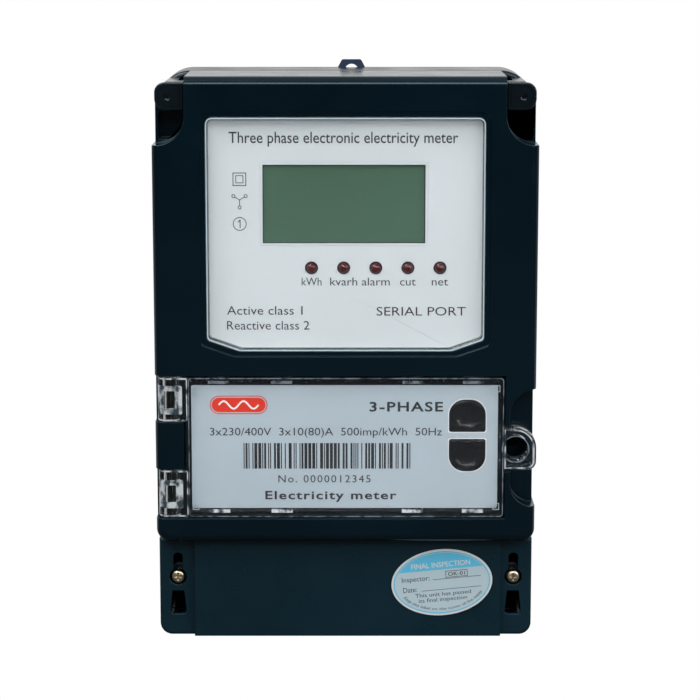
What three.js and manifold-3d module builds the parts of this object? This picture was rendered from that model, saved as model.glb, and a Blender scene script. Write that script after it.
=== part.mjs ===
// Smart electric meter: a three-phase wall meter with a window, a nameplate door and a terminal compartment.
// Millimetres. X runs to the right, Z up, the wall is the plane y = 0 and the front faces -Y.
import * as THREE from 'three';
import { mergeVertices } from 'three/addons/utils/BufferGeometryUtils.js';
import Module from 'manifold-3d';

const wasm = await Module();
wasm.setup();

// ---------------------------------------------------------------- driving dimensions

// Fits
const gap = 0.3; // between neighbours that touch
const swing = 0.6; // around the clear door
const rooted = 1; // how far a boss or pad runs into the wall it stands on
const past = 1; // how far a cutting tool runs past the face that it cuts

// Case
const caseWidth = 170;
const caseHeight = 254.6;
const originDrop = 127.6; // the part's origin below the case's top
const baseDepth = 30;
const caseDepth = 75; // wall to the face of the front cover
const wall = 2.5;
const topCornerRadius = 14.5;
const bottomCornerRadius = 6;
const edgeRounding = 4;
const terminalCoverHeight = 45.5;
const coverSplit = 0.5; // between the front cover and the terminal cover
const side = caseWidth / 2;
const caseTop = originDrop;
const caseBottom = caseTop - caseHeight;
const frontCoverBottom = caseBottom + terminalCoverHeight + coverSplit;
const face = -caseDepth;
const coverBack = -baseDepth - gap;
const coverInside = face + wall;
const baseInside = -wall;

// Corner notches, each with a cap over a case screw
const notchWidth = 14.5;
const notchHeight = 30;
const notchRadius = 13;
const notchDepth = 14;
const sideStep = 0.9; // how far the case's flank steps in at a notch and at the scoop
const notchPocketDepth = 10;
const notchPocketRadius = 9;
const capWidth = 12.9;
const capHeight = 12.2;
const capThickness = 2.7;
const capTopInset = 3.2;
const capFaceInset = 10;
const capPinhole = 0.6;
const capPinholeDepth = 1.5;
const capRound = 5.1; // lower outer corner
const capChamfer = 4.4; // upper outer corner
const capCorner = 1;
const capRounding = 0.5;
const capPadInset = 0.2;
const capPadHeight = 0.7;
const notchPocketInset = 1;
const notchPocketSide = 1.4;
const notchPocketDrop = 0.8; // below the cap
const notchPocketRise = 1.5; // above the notch's lower edge
const caseScrewInset = 6.5; // from the flank
const caseScrewDrop = 9.6; // from the top
const caseScrewSunk = 8; // behind its cap

// Window and faceplate
const windowMargin = 23.7;
const windowTopMargin = 17.8;
const windowToDoor = 12;
const windowCornerRadius = 3;
const windowCutX = 14.3; // the cut-off lower corners
const windowCutZ = 5;
const windowCutRadius = 2;
const lensProud = 0.8;
const lensRim = 1.5;
const lensRimHeight = 0.7;
const lensPane = 2.2;
const lensDepth = 5.3;
const lensLedge = 2.5;
const lensRounding = 0.5;
const windowShelf = 2.5;
const windowShelfDepth = 0.6;
const faceplateThickness = 1;
const faceplateInset = 0.8;

// Display and lamps
const displayWidth = 71.7;
const displayHeight = 34.8;
const displayX = -0.65;
const displayDrop = 38.4; // window top to the display's middle
const displayLap = 2.6;
const displayThickness = 3;
const backlightInset = 3;
const lampCount = 5;
const lampPitch = 14.2;
const lampMiddleX = 13.4;
const lampDrop = 10.9; // display's lower edge to the lamps
const lampRadius = 2.5;
const lampFlange = 2.95;
const lampHoleClearance = 0.4;
const lampProud = 1.5;
const lampFlangeDrop = 4; // behind the faceplate

// Nameplate bay and its clear door
const doorAboveCoverBottom = 11.8;
const doorHeight = 63.7;
const doorRightMargin = 14.3;
const doorPlate = 2;
const doorRim = 1.6;
const doorRimDepth = 8;
const bayDepth = 8.6;
const bayLiner = 4.2;
const plateauDepth = 3.5;
const plateauInset = 3.4;
const plateauRimGap = 0.5;
const doorHingeCorner = 1.2;
const doorCorner = 2.2;
const doorRounding = 0.5;
const nameplateThickness = 0.5;
const nameplateMarginZ = 3.8;
const nameplateMarginRight = 2.7;
const nameplateLeft = 16.2; // from the left flank
const nameplateCorner = 1;
const stopTabWidth = 9.5;
const stopTabHeight = 1.1;
const stopTabXs = [-56.5, -28.5, 30, 57];
const stopTabSunk = 0.5; // into the door's plate and rim
const stopTabShort = 1; // behind the rim's edge

// Hinge of the door
const hingeInset = 6; // pin to the left flank
const hingeDepth = 4.8; // pin behind the face
const knuckleRadius = 4.8;
const pinRadius = 1.5;
const pinSeat = 5;
const upperKnuckle = 20;
const lowerKnuckle = 21.6;
const hingeWidth = 13.4;
const knuckleWindow = 9; // height of the opening in each knuckle
const knuckleWindowDepth = 3;
const knuckleWindowLeft = 1.9; // from the pin
const knuckleWindowRight = 3.1;
const hingeLip = 1.2; // solid strip of the door beside its knuckles
const hingeSideGap = 0.4;
const postGap = 0.2; // above and below the post between the knuckles

// Latch ear and the lock screw behind it
const latchInset = 9.1;
const latchDrop = 32.5; // below the door's top edge
const latchHoleRadius = 5.7;
const latchEarHeight = 19.2;
const latchEarDepth = 8;
const latchOverhang = 0.2;
const earCorner = 4;
const earWideCorner = 9;
const earRounding = 0.7;
const scoopHeight = 53.3;
const scoopWidth = 11.7;
const scoopRadius = 11.2;
const scoopDepth = 10;
const scoopDrop = 5.6; // below the door's top edge
const lockBoreRadius = 5.5;
const lockBoreDepth = 16;
const lockHeadRadius = 3.6;
const lockHeadHeight = 3;

// Buttons and their switches
const buttonWidth = 15.7;
const buttonHeight = 14.1;
const buttonInset = 16.3; // door's right edge to the buttons' middle
const upperButtonDrop = 17.65; // door's top edge to the button's middle
const lowerButtonDrop = 35.65;
const buttonRound = 6.6;
const buttonSquare = 1;
const buttonClearance = 0.35;
const buttonProud = 0.4;
const buttonDimple = 0.8;
const buttonDimpleRadius = 5;
const buttonFlange = 1.2;
const buttonFlangeThickness = 1.4;
const buttonStemRadius = 2;
const buttonRounding = 0.6;
const buttonTravel = 1.2;
const switchWidth = 6;
const switchHeight = 2.4;
const switchBody = 1.7;
const switchPlungerRadius = 1.4;

// Terminal cover
const terminalFaceInset = 8; // raised middle panel behind the front cover's face
const sideZoneInset = 2.5; // side zones behind the middle panel
const panelLeftMargin = 16.2;
const panelRightMargin = 14.5;
const terminalSideInset = 0.4;
const terminalWall = 2.2;
const terminalRounding = 1.6;
const panelRounding = 0.8;
const terminalCornerRadius = 5.5;
const keyholeInset = 8.8;
const keyholeRise = 27.5; // from the case's bottom
const keyholeRadius = 3.9;
const keyholeSlotWidth = 4.2;
const keyholeSlotTop = 11.1;
const keyholeSlotCorner = 2;
const sealPocketTop = 20.8; // from the case's bottom
const sealPocketHeight = 10.9;
const sealPocketTopWidth = 5.3;
const sealPocketBottomWidth = 7.6;
const sealPocketTopCorner = 0.4;
const sealPocketBottomCorner = 1.6;
const sealBossDrop = 2; // below the terminal cover's inner face
const sealScrewHeadRadius = 2.8;
const sealScrewHeadHeight = 2;
const sealScrewProud = 1;
const stickerWidth = 46;
const stickerHeight = 31;
const stickerX = 43.7;
const stickerLift = 2.85; // above the terminal cover's middle
const stickerTilt = 5.5;
const stickerThickness = 0.3;

// Terminal block, its terminals and clamp screws
const terminalCount = 7;
const terminalEndMargin = 23.75;
const partition = 3;
const blockBack = 4;
const blockRoom = 16.3; // between the terminal cover's inner face and the block
const blockTopDrop = 3; // below the front cover
const blockRise = 7.5; // above the base's lower wall
const blockFloor = 5;
const pocketRoof = 6;
const terminalBackInset = 4;
const terminalDepth = 21.4;
const wireRadius = 4.5;
const wireMouthRadius = 4.9;
const wireY = -19;
const wireWallRadius = 5.6;
const wireTopLeft = 3; // brass left above the wire bore
const clampScrewRadius = 3;
const clampHeadRadius = 3.7;
const clampHeadHeight = 3.4;
const clampHeadSunk = 2;
const clampScrewPitch = 8.5;
const clampScrewLow = 0.25; // below the brass's middle
const auxiliaryWidth = 50;
const auxiliaryHeight = 7.5;
const auxiliaryDepth = 10;
const auxiliaryX = 30;
const auxiliaryDrop = 1; // below the block's top
const auxiliaryHoles = 8;
const auxiliaryHoleRadius = 1.3;
const auxiliaryFloor = 4; // behind its holes

// Screws, bosses and fixing holes
const screwRadius = 1.6;
const screwHeadRadius = 3;
const screwHeadHeight = 2.6;
const screwClearance = 0.3;
const bossRadius = 5;
const lockBossRadius = 7;
const screwEnd = 12; // from the wall
const screwRoom = 2; // bore left beyond a screw's end
const fixingHoleRadius = 3.1;
const fixingInset = 15;
const fixingRise = 12;

// Hanger
const hangerX = 2.7;
const hangerWidth = 12.6;
const hangerTopWidth = 8.8;
const hangerProud = 3.6;
const hangerTaper = 3.6;
const hangerLength = 40;
const hangerThickness = 1.6;
const hangerFootWidth = 16.6;
const hangerFootHeight = 8;
const hangerHoleRadius = 3.1;
const hangerHoleDrop = 5.2;
const hangerCorner = 1;
const hangerTopCorner = 1.2;
const hangerTravel = 18;
const hangerLip = 1.1; // back wall left behind the hanger
const hangerSlot = 8; // width open to the back

// Circuit board and what stands on it
const boardThickness = 1.6;
const boardSetback = 21.4; // behind the face
const boardSideMargin = 19;
const boardTopMargin = 13;
const boardBottomMargin = 7;
const ringRadius = 13;
const ringBore = 5.5;
const ringHeight = 14;
const ringLift = 5.5; // off the base's inner face
const ringRise = 30; // above the front cover's lower edge
const ringXs = [-48, 0, 48];
const transformerX = -43;
const transformerDrop = 95; // below the case's top
const transformerLift = 3.5; // off the base's inner face
const transformerRoom = 4; // behind the board
const coreWidth = 34;
const coreHeight = 24;
const coreFront = 5; // behind the winding's front
const coreBack = 6; // before the winding's back
const windingWidth = 22;
const windingHeight = 34;
const relayX = 39;
const relayWidth = 38;
const relayHeight = 34;
const relayRise = 59; // above the front cover's lower edge
const relayRoom = 8; // behind the board
const relayLift = 3.5; // off the base's inner face
const batteryX = 40;
const batteryDrop = 40; // below the case's top
const batteryRadius = 7.2;
const batteryLength = 25;
const batteryRoom = 2.8; // behind the board

// ---------------------------------------------------------------- materials

function finish(color, roughness, metalness = 0, opacity = 1) {
  return new THREE.MeshStandardMaterial({ color, roughness, metalness, opacity, transparent: opacity < 1 });
}

const glossBlack = () => finish(0x0b1a24, 0.22);
const satinBlack = () => finish(0x152731, 0.42);
const clearPlastic = () => finish(0xdde6ea, 0.08, 0, 0.3);
const printedGrey = () => finish(0xd5dce0, 0.5);
const zincPlate = () => finish(0xc9b98c, 0.35, 0.9);
const steel = () => finish(0x9a9ea2, 0.35, 0.9);
const brass = () => finish(0xb8964a, 0.35, 0.9);
const darkPlastic = () => finish(0x23272b, 0.55);

// ---------------------------------------------------------------- shape tools

// Turns a closed three.js geometry into a solid that can be joined and cut.
function solid(geometry) {
  const bare = geometry.clone();
  bare.deleteAttribute('normal');
  bare.deleteAttribute('uv');
  const merged = mergeVertices(bare, 1e-4);
  const index = merged.index.array;
  const at = merged.attributes.position;
  const corners = [new THREE.Vector3(), new THREE.Vector3(), new THREE.Vector3()];
  const triangles = [];
  let volume = 0;
  for (let i = 0; i < index.length; i += 3) {
    const [a, b, c] = [index[i], index[i + 1], index[i + 2]];
    if (a === b || b === c || c === a) {
      continue;
    }
    triangles.push([a, b, c]);
    [a, b, c].forEach((vertex, k) => corners[k].fromBufferAttribute(at, vertex));
    volume += corners[0].dot(corners[1].cross(corners[2]));
  }
  const triVerts = new Uint32Array(triangles.flatMap(([a, b, c]) => (volume < 0 ? [a, c, b] : [a, b, c])));
  const vertProperties = new Float32Array(at.array);
  return new wasm.Manifold(new wasm.Mesh({ numProp: 3, vertProperties, triVerts }));
}

// A closed outline from corners given as [across, up, radius], each corner rounded by an arc.
function outline(corners, arcSteps = 4) {
  const points = [];
  corners.forEach(([x, z, radius = 0], i) => {
    const corner = new THREE.Vector2(x, z);
    if (radius === 0) {
      points.push(corner);
      return;
    }
    const [beforeX, beforeZ] = corners.at(i - 1);
    const [afterX, afterZ] = corners[(i + 1) % corners.length];
    const back = new THREE.Vector2(beforeX, beforeZ).sub(corner).normalize();
    const ahead = new THREE.Vector2(afterX, afterZ).sub(corner).normalize();
    const half = Math.acos(back.dot(ahead)) / 2;
    const centre = back.clone().add(ahead).normalize().multiplyScalar(radius / Math.sin(half)).add(corner);
    const start = back.clone().multiplyScalar(radius / Math.tan(half)).add(corner).sub(centre).angle();
    const end = ahead.clone().multiplyScalar(radius / Math.tan(half)).add(corner).sub(centre).angle();
    const sweep = Math.atan2(Math.sin(end - start), Math.cos(end - start));
    for (let step = 0; step <= arcSteps; step += 1) {
      const angle = start + (sweep * step) / arcSteps;
      points.push(new THREE.Vector2(Math.cos(angle), Math.sin(angle)).multiplyScalar(radius).add(centre));
    }
  });
  return points;
}

// A rectangle's outline; radii are those of its lower left, lower right, upper right and upper left corners.
function rectangle(left, right, bottom, top, radii = [0, 0, 0, 0], arcSteps = 4) {
  const at = [[left, bottom], [right, bottom], [right, top], [left, top]];
  return outline(at.map(([x, z], i) => [x, z, radii[i]]), arcSteps);
}

// An outline in X and Z, extruded along Y between two depths.
function prism(points, front, back) {
  const options = { depth: back - front, bevelEnabled: false };
  const geometry = new THREE.ExtrudeGeometry(new THREE.Shape(points), options);
  return solid(geometry.rotateX(Math.PI / 2).translate(0, back, 0));
}

// A prism whose front edge is rounded.
function roundedPrism(points, front, back, rounding, steps = 3) {
  const geometry = new THREE.ExtrudeGeometry(new THREE.Shape(points), {
    depth: back - front - rounding,
    bevelThickness: rounding,
    bevelSize: rounding,
    bevelOffset: -rounding,
    bevelSegments: steps,
  });
  const reach = 2 * caseHeight;
  const behind = block(-reach, reach, back, back + reach, -reach, reach);
  return solid(geometry.rotateX(Math.PI / 2).translate(0, back, 0)).subtract(behind);
}

function block(left, right, front, back, bottom, top) {
  const geometry = new THREE.BoxGeometry(right - left, back - front, top - bottom);
  return solid(geometry.translate((left + right) / 2, (front + back) / 2, (bottom + top) / 2));
}

// A round rod along Y.
function rod(radius, x, z, front, back, sides = 16) {
  const geometry = new THREE.CylinderGeometry(radius, radius, back - front, sides);
  return solid(geometry.translate(x, (front + back) / 2, z));
}

// A round rod along Z.
function post(radius, x, y, bottom, top, sides = 16) {
  const geometry = new THREE.CylinderGeometry(radius, radius, top - bottom, sides);
  return solid(geometry.rotateX(Math.PI / 2).translate(x, y, (bottom + top) / 2));
}

// A profile of [radius, y] points turned about an axis along Y.
function turned(profile, x, z, sides = 16) {
  const points = profile.map(([radius, y]) => new THREE.Vector2(radius, y));
  return solid(new THREE.LatheGeometry(points, sides).translate(x, 0, z));
}

function join(...solids) {
  return solids.reduce((sum, next) => sum.add(next));
}

function cut(body, ...tools) {
  return tools.reduce((rest, tool) => rest.subtract(tool), body);
}

const meter = new THREE.Group();
meter.name = 'smart_electric_meter';

function piece(name, body, material) {
  const { vertProperties, triVerts } = body.getMesh();
  const geometry = new THREE.BufferGeometry();
  geometry.setAttribute('position', new THREE.BufferAttribute(new Float32Array(vertProperties), 3));
  geometry.setIndex(new THREE.BufferAttribute(new Uint32Array(triVerts), 1));
  geometry.computeVertexNormals();
  const mesh = new THREE.Mesh(geometry, material);
  mesh.name = name;
  meter.add(mesh);
}

// A slotted pan-head screw along Y, its head towards -Y.
function screw(headFront, headHeight, headRadius, shankRadius, end, x, z, sides = 14) {
  const dome = headHeight * 0.35;
  const slot = headRadius * 0.13;
  const slotDepth = headHeight * 0.45;
  const body = turned([
    [0, headFront],
    [headRadius - dome, headFront],
    [headRadius, headFront + dome],
    [headRadius, headFront + headHeight],
    [shankRadius, headFront + headHeight],
    [shankRadius, end - shankRadius],
    [shankRadius / 2, end],
    [0, end],
  ], x, z, sides);
  const across = block(x - 2 * headRadius, x + 2 * headRadius, headFront - past, headFront + slotDepth,
    z - slot, z + slot);
  return cut(body, across);
}

// ---------------------------------------------------------------- places worked out from the dimensions

const doorTop = frontCoverBottom + doorAboveCoverBottom + doorHeight;
const doorBottom = frontCoverBottom + doorAboveCoverBottom;
const doorRight = side - doorRightMargin;
const hingeX = -side + hingeInset;
const hingeY = face + hingeDepth;
const bayFloor = face + bayDepth;
const bayBack = bayFloor + bayLiner;
const bayLeft = -side + hingeWidth;
const plateau = face + plateauDepth;
const latchX = side - latchInset;
const latchZ = doorTop - latchDrop;
const scoopFloor = face + scoopDepth;
const boardFront = face + boardSetback;
const boardBack = boardFront + boardThickness;
const windowTop = caseTop - windowTopMargin;
const windowBottom = doorTop + windowToDoor;
const windowSide = side - windowMargin;
const lensBack = face - lensProud + lensDepth;
const faceplateFront = lensBack + gap;
const faceplateBack = faceplateFront + faceplateThickness;
const displayZ = windowTop - displayDrop;
const displayFront = faceplateBack + gap;
const displayBack = displayFront + displayThickness;
const lampZ = displayZ - displayHeight / 2 - lampDrop;
const caseScrewX = side - caseScrewInset;
const caseScrewZ = caseTop - caseScrewDrop;
const capTop = caseTop - capTopInset;
const capSeat = face + capFaceInset + capThickness;
const caseScrewSeat = capSeat + caseScrewSunk;
const notchFloor = face + notchDepth;
const buttonX = doorRight - buttonInset;
const nameplateFace = plateau - gap - nameplateThickness;
const terminalFace = face + terminalFaceInset;
const sideZone = terminalFace + sideZoneInset;
const keyholeX = side - keyholeInset;
const keyholeZ = caseBottom + keyholeRise;
const sealScrewFront = sideZone - sealScrewProud;
const stickerZ = caseBottom + terminalCoverHeight / 2 + stickerLift;
const blockTop = frontCoverBottom - blockTopDrop;
const blockBottom = caseBottom + wall + blockRise;
const blockFront = sideZone + terminalWall + blockRoom;
const blockSide = side - terminalEndMargin + partition / 2;
const terminalTop = blockTop - pocketRoof - gap;
const terminalBottom = blockBottom + blockFloor + gap;
const clampMiddle = (terminalTop + terminalBottom) / 2 - clampScrewLow;
const clampZs = [clampMiddle + clampScrewPitch / 2, clampMiddle - clampScrewPitch / 2];
const clampSeat = blockFront + clampHeadSunk + clampHeadHeight;
const terminalPitch = (caseWidth - 2 * terminalEndMargin) / terminalCount;
const row = (count, pitch, middle) =>
  Array.from({ length: count }, (_, i) => middle + (i - (count - 1) / 2) * pitch);
const terminalXs = row(terminalCount, terminalPitch, 0);
const lampXs = row(lampCount, lampPitch, lampMiddleX);
const buttons = [
  { name: 'upper', z: doorTop - upperButtonDrop, up: 1 },
  { name: 'lower', z: doorTop - lowerButtonDrop, up: -1 },
];

function windowOutline(grow) {
  const right = windowSide + grow;
  const bottom = windowBottom - grow;
  const radius = windowCornerRadius + grow;
  return outline([
    [-right + windowCutX, bottom, windowCutRadius],
    [right - windowCutX, bottom, windowCutRadius],
    [right, bottom + windowCutZ, windowCutRadius],
    [right, windowTop + grow, radius],
    [-right, windowTop + grow, radius],
    [-right, bottom + windowCutZ, windowCutRadius],
  ]);
}

function buttonOutline({ z, up }, grow) {
  const round = buttonRound + grow;
  const lower = up > 0 ? buttonSquare : round;
  const upper = up > 0 ? round : buttonSquare;
  const halfWidth = buttonWidth / 2 + grow;
  const halfHeight = buttonHeight / 2 + grow;
  return rectangle(buttonX - halfWidth, buttonX + halfWidth, z - halfHeight, z + halfHeight,
    [lower, lower, upper, upper]);
}

// The D-shaped outline of a corner cap; hand is 1 on the right and -1 on the left.
function capOutline(hand, grow) {
  const outer = side - sideStep + grow;
  const inner = side - sideStep - capWidth - grow;
  const top = capTop + grow;
  const bottom = capTop - capHeight - grow;
  return outline([
    [inner, bottom, capCorner],
    [outer, bottom, capRound],
    [outer, top, capChamfer],
    [inner, top, capCorner],
  ].map(([x, z, radius]) => [hand * x, z, radius]));
}

// The corner notch seen from the front.
function notchOutline(hand, grow) {
  const inner = side - notchWidth - grow;
  const bottom = caseTop - notchHeight - grow;
  return outline([
    [inner, bottom, notchRadius],
    [side + past, bottom],
    [side + past, caseTop + past],
    [inner, caseTop + past],
  ].map(([x, z, radius]) => [hand * x, z, radius]), 8);
}

function scoopOutline(grow) {
  const left = side - scoopWidth - grow;
  const top = doorTop - scoopDrop + grow;
  const bottom = top - scoopHeight - 2 * grow;
  return rectangle(left, side + past, bottom, top, [scoopRadius, 0, 0, scoopRadius], 8);
}

// ---------------------------------------------------------------- base shell and hanger

function baseShell() {
  const radii = [bottomCornerRadius, bottomCornerRadius, topCornerRadius, topCornerRadius];
  const inner = radii.map((radius) => radius - wall);
  const outer = prism(rectangle(-side, side, caseBottom, caseTop, radii), -baseDepth, 0);
  const hollow = rectangle(-side + wall, side - wall, caseBottom + wall, caseTop - wall, inner);
  let shell = cut(outer, prism(hollow, -baseDepth - past, baseInside));

  // Screw bosses: two for the case screws, one for the lock screw and two tall ones for the terminal cover.
  const bosses = [-1, 1].flatMap((hand) => [
    rod(bossRadius, hand * caseScrewX, caseScrewZ, -baseDepth, baseInside + rooted),
    rod(bossRadius, hand * keyholeX, keyholeZ, sideZone + terminalWall + sealBossDrop + sealScrewHeadHeight,
      baseInside + rooted),
  ]);
  bosses.push(rod(lockBossRadius, latchX, latchZ, -baseDepth, baseInside + rooted));
  const body = prism(rectangle(-side, side, caseBottom, caseTop, radii), face, 0);
  shell = join(shell, ...bosses.map((boss) => boss.intersect(body)));

  // The pad with the hanger's guide: a wide groove for its foot, a narrower one above and an open back.
  const footHalf = hangerFootWidth / 2 + gap;
  const bodyHalf = hangerWidth / 2 + gap;
  const guideBottom = caseTop + hangerProud - hangerLength - gap;
  const guideTop = guideBottom + hangerFootHeight + hangerTravel + 4 * gap;
  const guideFront = -hangerLip - hangerThickness - 2 * gap;
  const pad = block(hangerX - footHalf - wall, hangerX + footHalf + wall, guideFront - wall, -rooted,
    guideBottom - wall, caseTop - wall / 2);
  const guide = join(
    block(hangerX - footHalf, hangerX + footHalf, guideFront, -hangerLip, guideBottom, guideTop),
    block(hangerX - bodyHalf, hangerX + bodyHalf, guideFront, -hangerLip, guideBottom, caseTop + past),
    block(hangerX - hangerSlot / 2, hangerX + hangerSlot / 2, guideFront, past, guideBottom, caseTop + past),
  );
  shell = cut(join(shell, pad), guide);

  const holes = [-1, 1].flatMap((hand) => [
    rod(screwRadius + screwClearance, hand * caseScrewX, caseScrewZ, face, -screwEnd + screwRoom),
    rod(screwRadius + screwClearance, hand * keyholeX, keyholeZ, face, -screwEnd + screwRoom),
    rod(fixingHoleRadius, hand * (side - fixingInset), caseBottom + fixingRise, baseInside - past, past),
  ]);
  holes.push(rod(screwRadius + screwClearance, latchX, latchZ, face, -screwEnd + screwRoom));
  const wires = terminalXs.map((x) => post(wireWallRadius, x, wireY, caseBottom - past,
    caseBottom + wall + past));
  return cut(shell, ...holes, ...wires);
}

function hanger() {
  const top = caseTop + hangerProud;
  const bottom = top - hangerLength;
  const half = hangerWidth / 2;
  const foot = hangerFootWidth / 2;
  const front = -hangerLip - gap - hangerThickness;
  const plate = outline([
    [hangerX - foot, bottom, hangerCorner],
    [hangerX + foot, bottom, hangerCorner],
    [hangerX + foot, bottom + hangerFootHeight, hangerCorner],
    [hangerX + half, bottom + hangerFootHeight],
    [hangerX + half, top - hangerTaper],
    [hangerX + hangerTopWidth / 2, top, hangerTopCorner],
    [hangerX - hangerTopWidth / 2, top, hangerTopCorner],
    [hangerX - half, top - hangerTaper],
    [hangerX - half, bottom + hangerFootHeight],
    [hangerX - foot, bottom + hangerFootHeight, hangerCorner],
  ], 3);
  const hole = rod(hangerHoleRadius, hangerX, top - hangerHoleDrop, front - past, past);
  return cut(prism(plate, front, -hangerLip - gap), hole);
}

// ---------------------------------------------------------------- front cover

function frontCover() {
  const radii = [bottomCornerRadius, bottomCornerRadius, topCornerRadius, topCornerRadius];
  const inner = radii.map((radius) => radius - wall);
  const shape = rectangle(-side, side, frontCoverBottom, caseTop, radii);
  const body = roundedPrism(shape, face, coverBack, edgeRounding);
  const hollow = rectangle(-side + wall, side - wall, frontCoverBottom + wall, caseTop - wall, inner);
  const shell = cut(body, prism(hollow, coverInside, 0));

  // Walls behind everything that is sunk into the face, and bosses for the screws.
  const bayTop = doorTop + swing;
  const bayBottom = doorBottom - swing;
  const bayRight = doorRight + swing;
  const liners = [
    block(-side, bayRight + wall, face, bayBack, bayBottom - wall, bayTop + wall),
    prism(scoopOutline(wall), face, scoopFloor + wall),
    rod(lockBossRadius, latchX, latchZ, face, coverBack),
    ...[-1, 1].flatMap((hand) => [
      prism(notchOutline(hand, wall), face, notchFloor + notchPocketDepth + wall),
      rod(bossRadius, hand * caseScrewX, caseScrewZ, face, coverBack),
    ]),
  ];
  const filled = join(shell, ...liners.map((liner) => liner.intersect(body)));

  // The nameplate bay: a moat for the door's rim, a plateau for the nameplate and a deeper hinge end.
  const bay = block(-side - past, bayRight, face - past, bayFloor, bayBottom, bayTop);
  const plateauBlock = block(bayLeft + hingeLip, doorRight - doorRim - plateauRimGap,
    plateau, bayFloor + rooted, doorBottom + plateauInset, doorTop - plateauInset);
  const hingeFloor = hingeY + knuckleRadius + swing;
  const hingeBay = block(-side - past, bayLeft, face - past, hingeFloor, bayBottom, bayTop);
  const hingePost = block(-side - 2 * past, bayLeft - hingeSideGap, face - 2 * past, hingeFloor + rooted,
    doorBottom + lowerKnuckle + postGap, doorTop - upperKnuckle - postGap);
  const pinSockets = post(pinRadius + gap, hingeX, hingeY, bayBottom - pinSeat - gap, bayTop + pinSeat + gap);

  const ear = latchEarHeight / 2 + swing;
  const earChannel = block(doorRight - doorRim, side + past, face - past, scoopFloor,
    latchZ - ear, latchZ + ear);
  const cuts = [
    prism(windowOutline(gap), face - past, 0),
    prism(windowOutline(windowShelf), face - past, face + windowShelfDepth),
    cut(join(bay, hingeBay), plateauBlock, hingePost),
    pinSockets,
    prism(scoopOutline(0), face - past, scoopFloor),
    cut(prism(scoopOutline(0), face - past, 0),
      block(-side, side - sideStep, face - 2 * past, past, caseBottom, caseTop)),
    earChannel,
    rod(lockBoreRadius, latchX, latchZ, face, scoopFloor + lockBoreDepth),
    rod(screwRadius + screwClearance, latchX, latchZ, face, 0),
    ...buttons.map((place) => prism(buttonOutline(place, buttonClearance), face - past, bayBack + past)),
  ];
  [-1, 1].forEach((hand) => {
    const flank = block(-side + sideStep, side - sideStep, face - 2 * past, past, caseBottom, capTop);
    const pocketInner = side - notchWidth + notchPocketInset;
    const pocketOuter = side - sideStep - notchPocketSide;
    const pocketTop = capTop - capHeight - notchPocketDrop;
    const pocketBottom = caseTop - notchHeight + notchPocketRise;
    const pocket = outline([
      [pocketInner, pocketBottom, notchPocketRadius],
      [pocketOuter, pocketBottom, capCorner],
      [pocketOuter, pocketTop, capCorner],
      [pocketInner, pocketTop, capCorner],
    ].map(([x, z, radius]) => [hand * x, z, radius]));
    cuts.push(
      prism(notchOutline(hand, 0), face - past, notchFloor),
      cut(prism(notchOutline(hand, 0), face - past, 0), flank),
      prism(pocket, face, notchFloor + notchPocketDepth),
      rod(screwRadius + screwClearance, hand * caseScrewX, caseScrewZ, face, 0),
    );
  });
  const notched = cut(filled, ...cuts);
  const capPads = [-1, 1].map((hand) => prism(capOutline(hand, -capPadInset), capSeat + gap,
    notchFloor + capPadHeight));
  const padHoles = [-1, 1].map((hand) => rod(screwHeadRadius + screwClearance, hand * caseScrewX, caseScrewZ,
    face, caseScrewSeat));
  return cut(join(notched, ...capPads), ...padHoles);
}

function cornerCap(hand) {
  const front = face + capFaceInset;
  const cap = roundedPrism(capOutline(hand, 0), front, capSeat, capRounding, 2);
  return cut(cap, rod(capPinhole, hand * caseScrewX, caseScrewZ, face, front + capPinholeDepth, 8));
}

// ---------------------------------------------------------------- window, faceplate, display and lamps

function windowLens() {
  const front = face - lensProud;
  const rimFloor = front + lensRimHeight;
  return cut(
    roundedPrism(windowOutline(0), front, lensBack, lensRounding, 2),
    prism(windowOutline(-lensRim), front - past, rimFloor),
    prism(windowOutline(-lensLedge), rimFloor + lensPane, lensBack + past),
  );
}

function faceplate() {
  const halfWidth = displayWidth / 2;
  const halfHeight = displayHeight / 2;
  const opening = rectangle(displayX - halfWidth, displayX + halfWidth,
    displayZ - halfHeight, displayZ + halfHeight);
  const lampHoles = lampXs.map((x) => rod(lampRadius + lampHoleClearance, x, lampZ, faceplateFront - past,
    faceplateBack + past, 14));
  return cut(
    prism(windowOutline(-faceplateInset), faceplateFront, faceplateBack),
    prism(opening, faceplateFront - past, faceplateBack + past),
    ...lampHoles,
  );
}

function displayBlock(grow, front, back) {
  return block(displayX - displayWidth / 2 - grow, displayX + displayWidth / 2 + grow, front, back,
    displayZ - displayHeight / 2 - grow, displayZ + displayHeight / 2 + grow);
}

function lamp(x) {
  const top = faceplateFront - lampProud;
  const shoulder = top + lampRadius;
  const dome = [0, 30, 60, 90].map((degrees) => {
    const angle = THREE.MathUtils.degToRad(degrees);
    return [lampRadius * Math.sin(angle), shoulder - lampRadius * Math.cos(angle)];
  });
  const flangeTop = faceplateBack + lampFlangeDrop;
  return turned([...dome, [lampRadius, flangeTop], [lampFlange, flangeTop], [lampFlange, boardFront - gap],
    [0, boardFront - gap]], x, lampZ, 12);
}

// ---------------------------------------------------------------- nameplate, door and buttons

function nameplate() {
  const left = -side + nameplateLeft;
  const right = doorRight - nameplateMarginRight;
  const bottom = doorBottom + nameplateMarginZ;
  const top = doorTop - nameplateMarginZ;
  const radii = Array(4).fill(nameplateCorner);
  return cut(
    prism(rectangle(left, right, bottom, top, radii), nameplateFace, plateau - gap),
    ...buttons.map((button) => prism(buttonOutline(button, buttonClearance), face, plateau)),
  );
}

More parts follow.
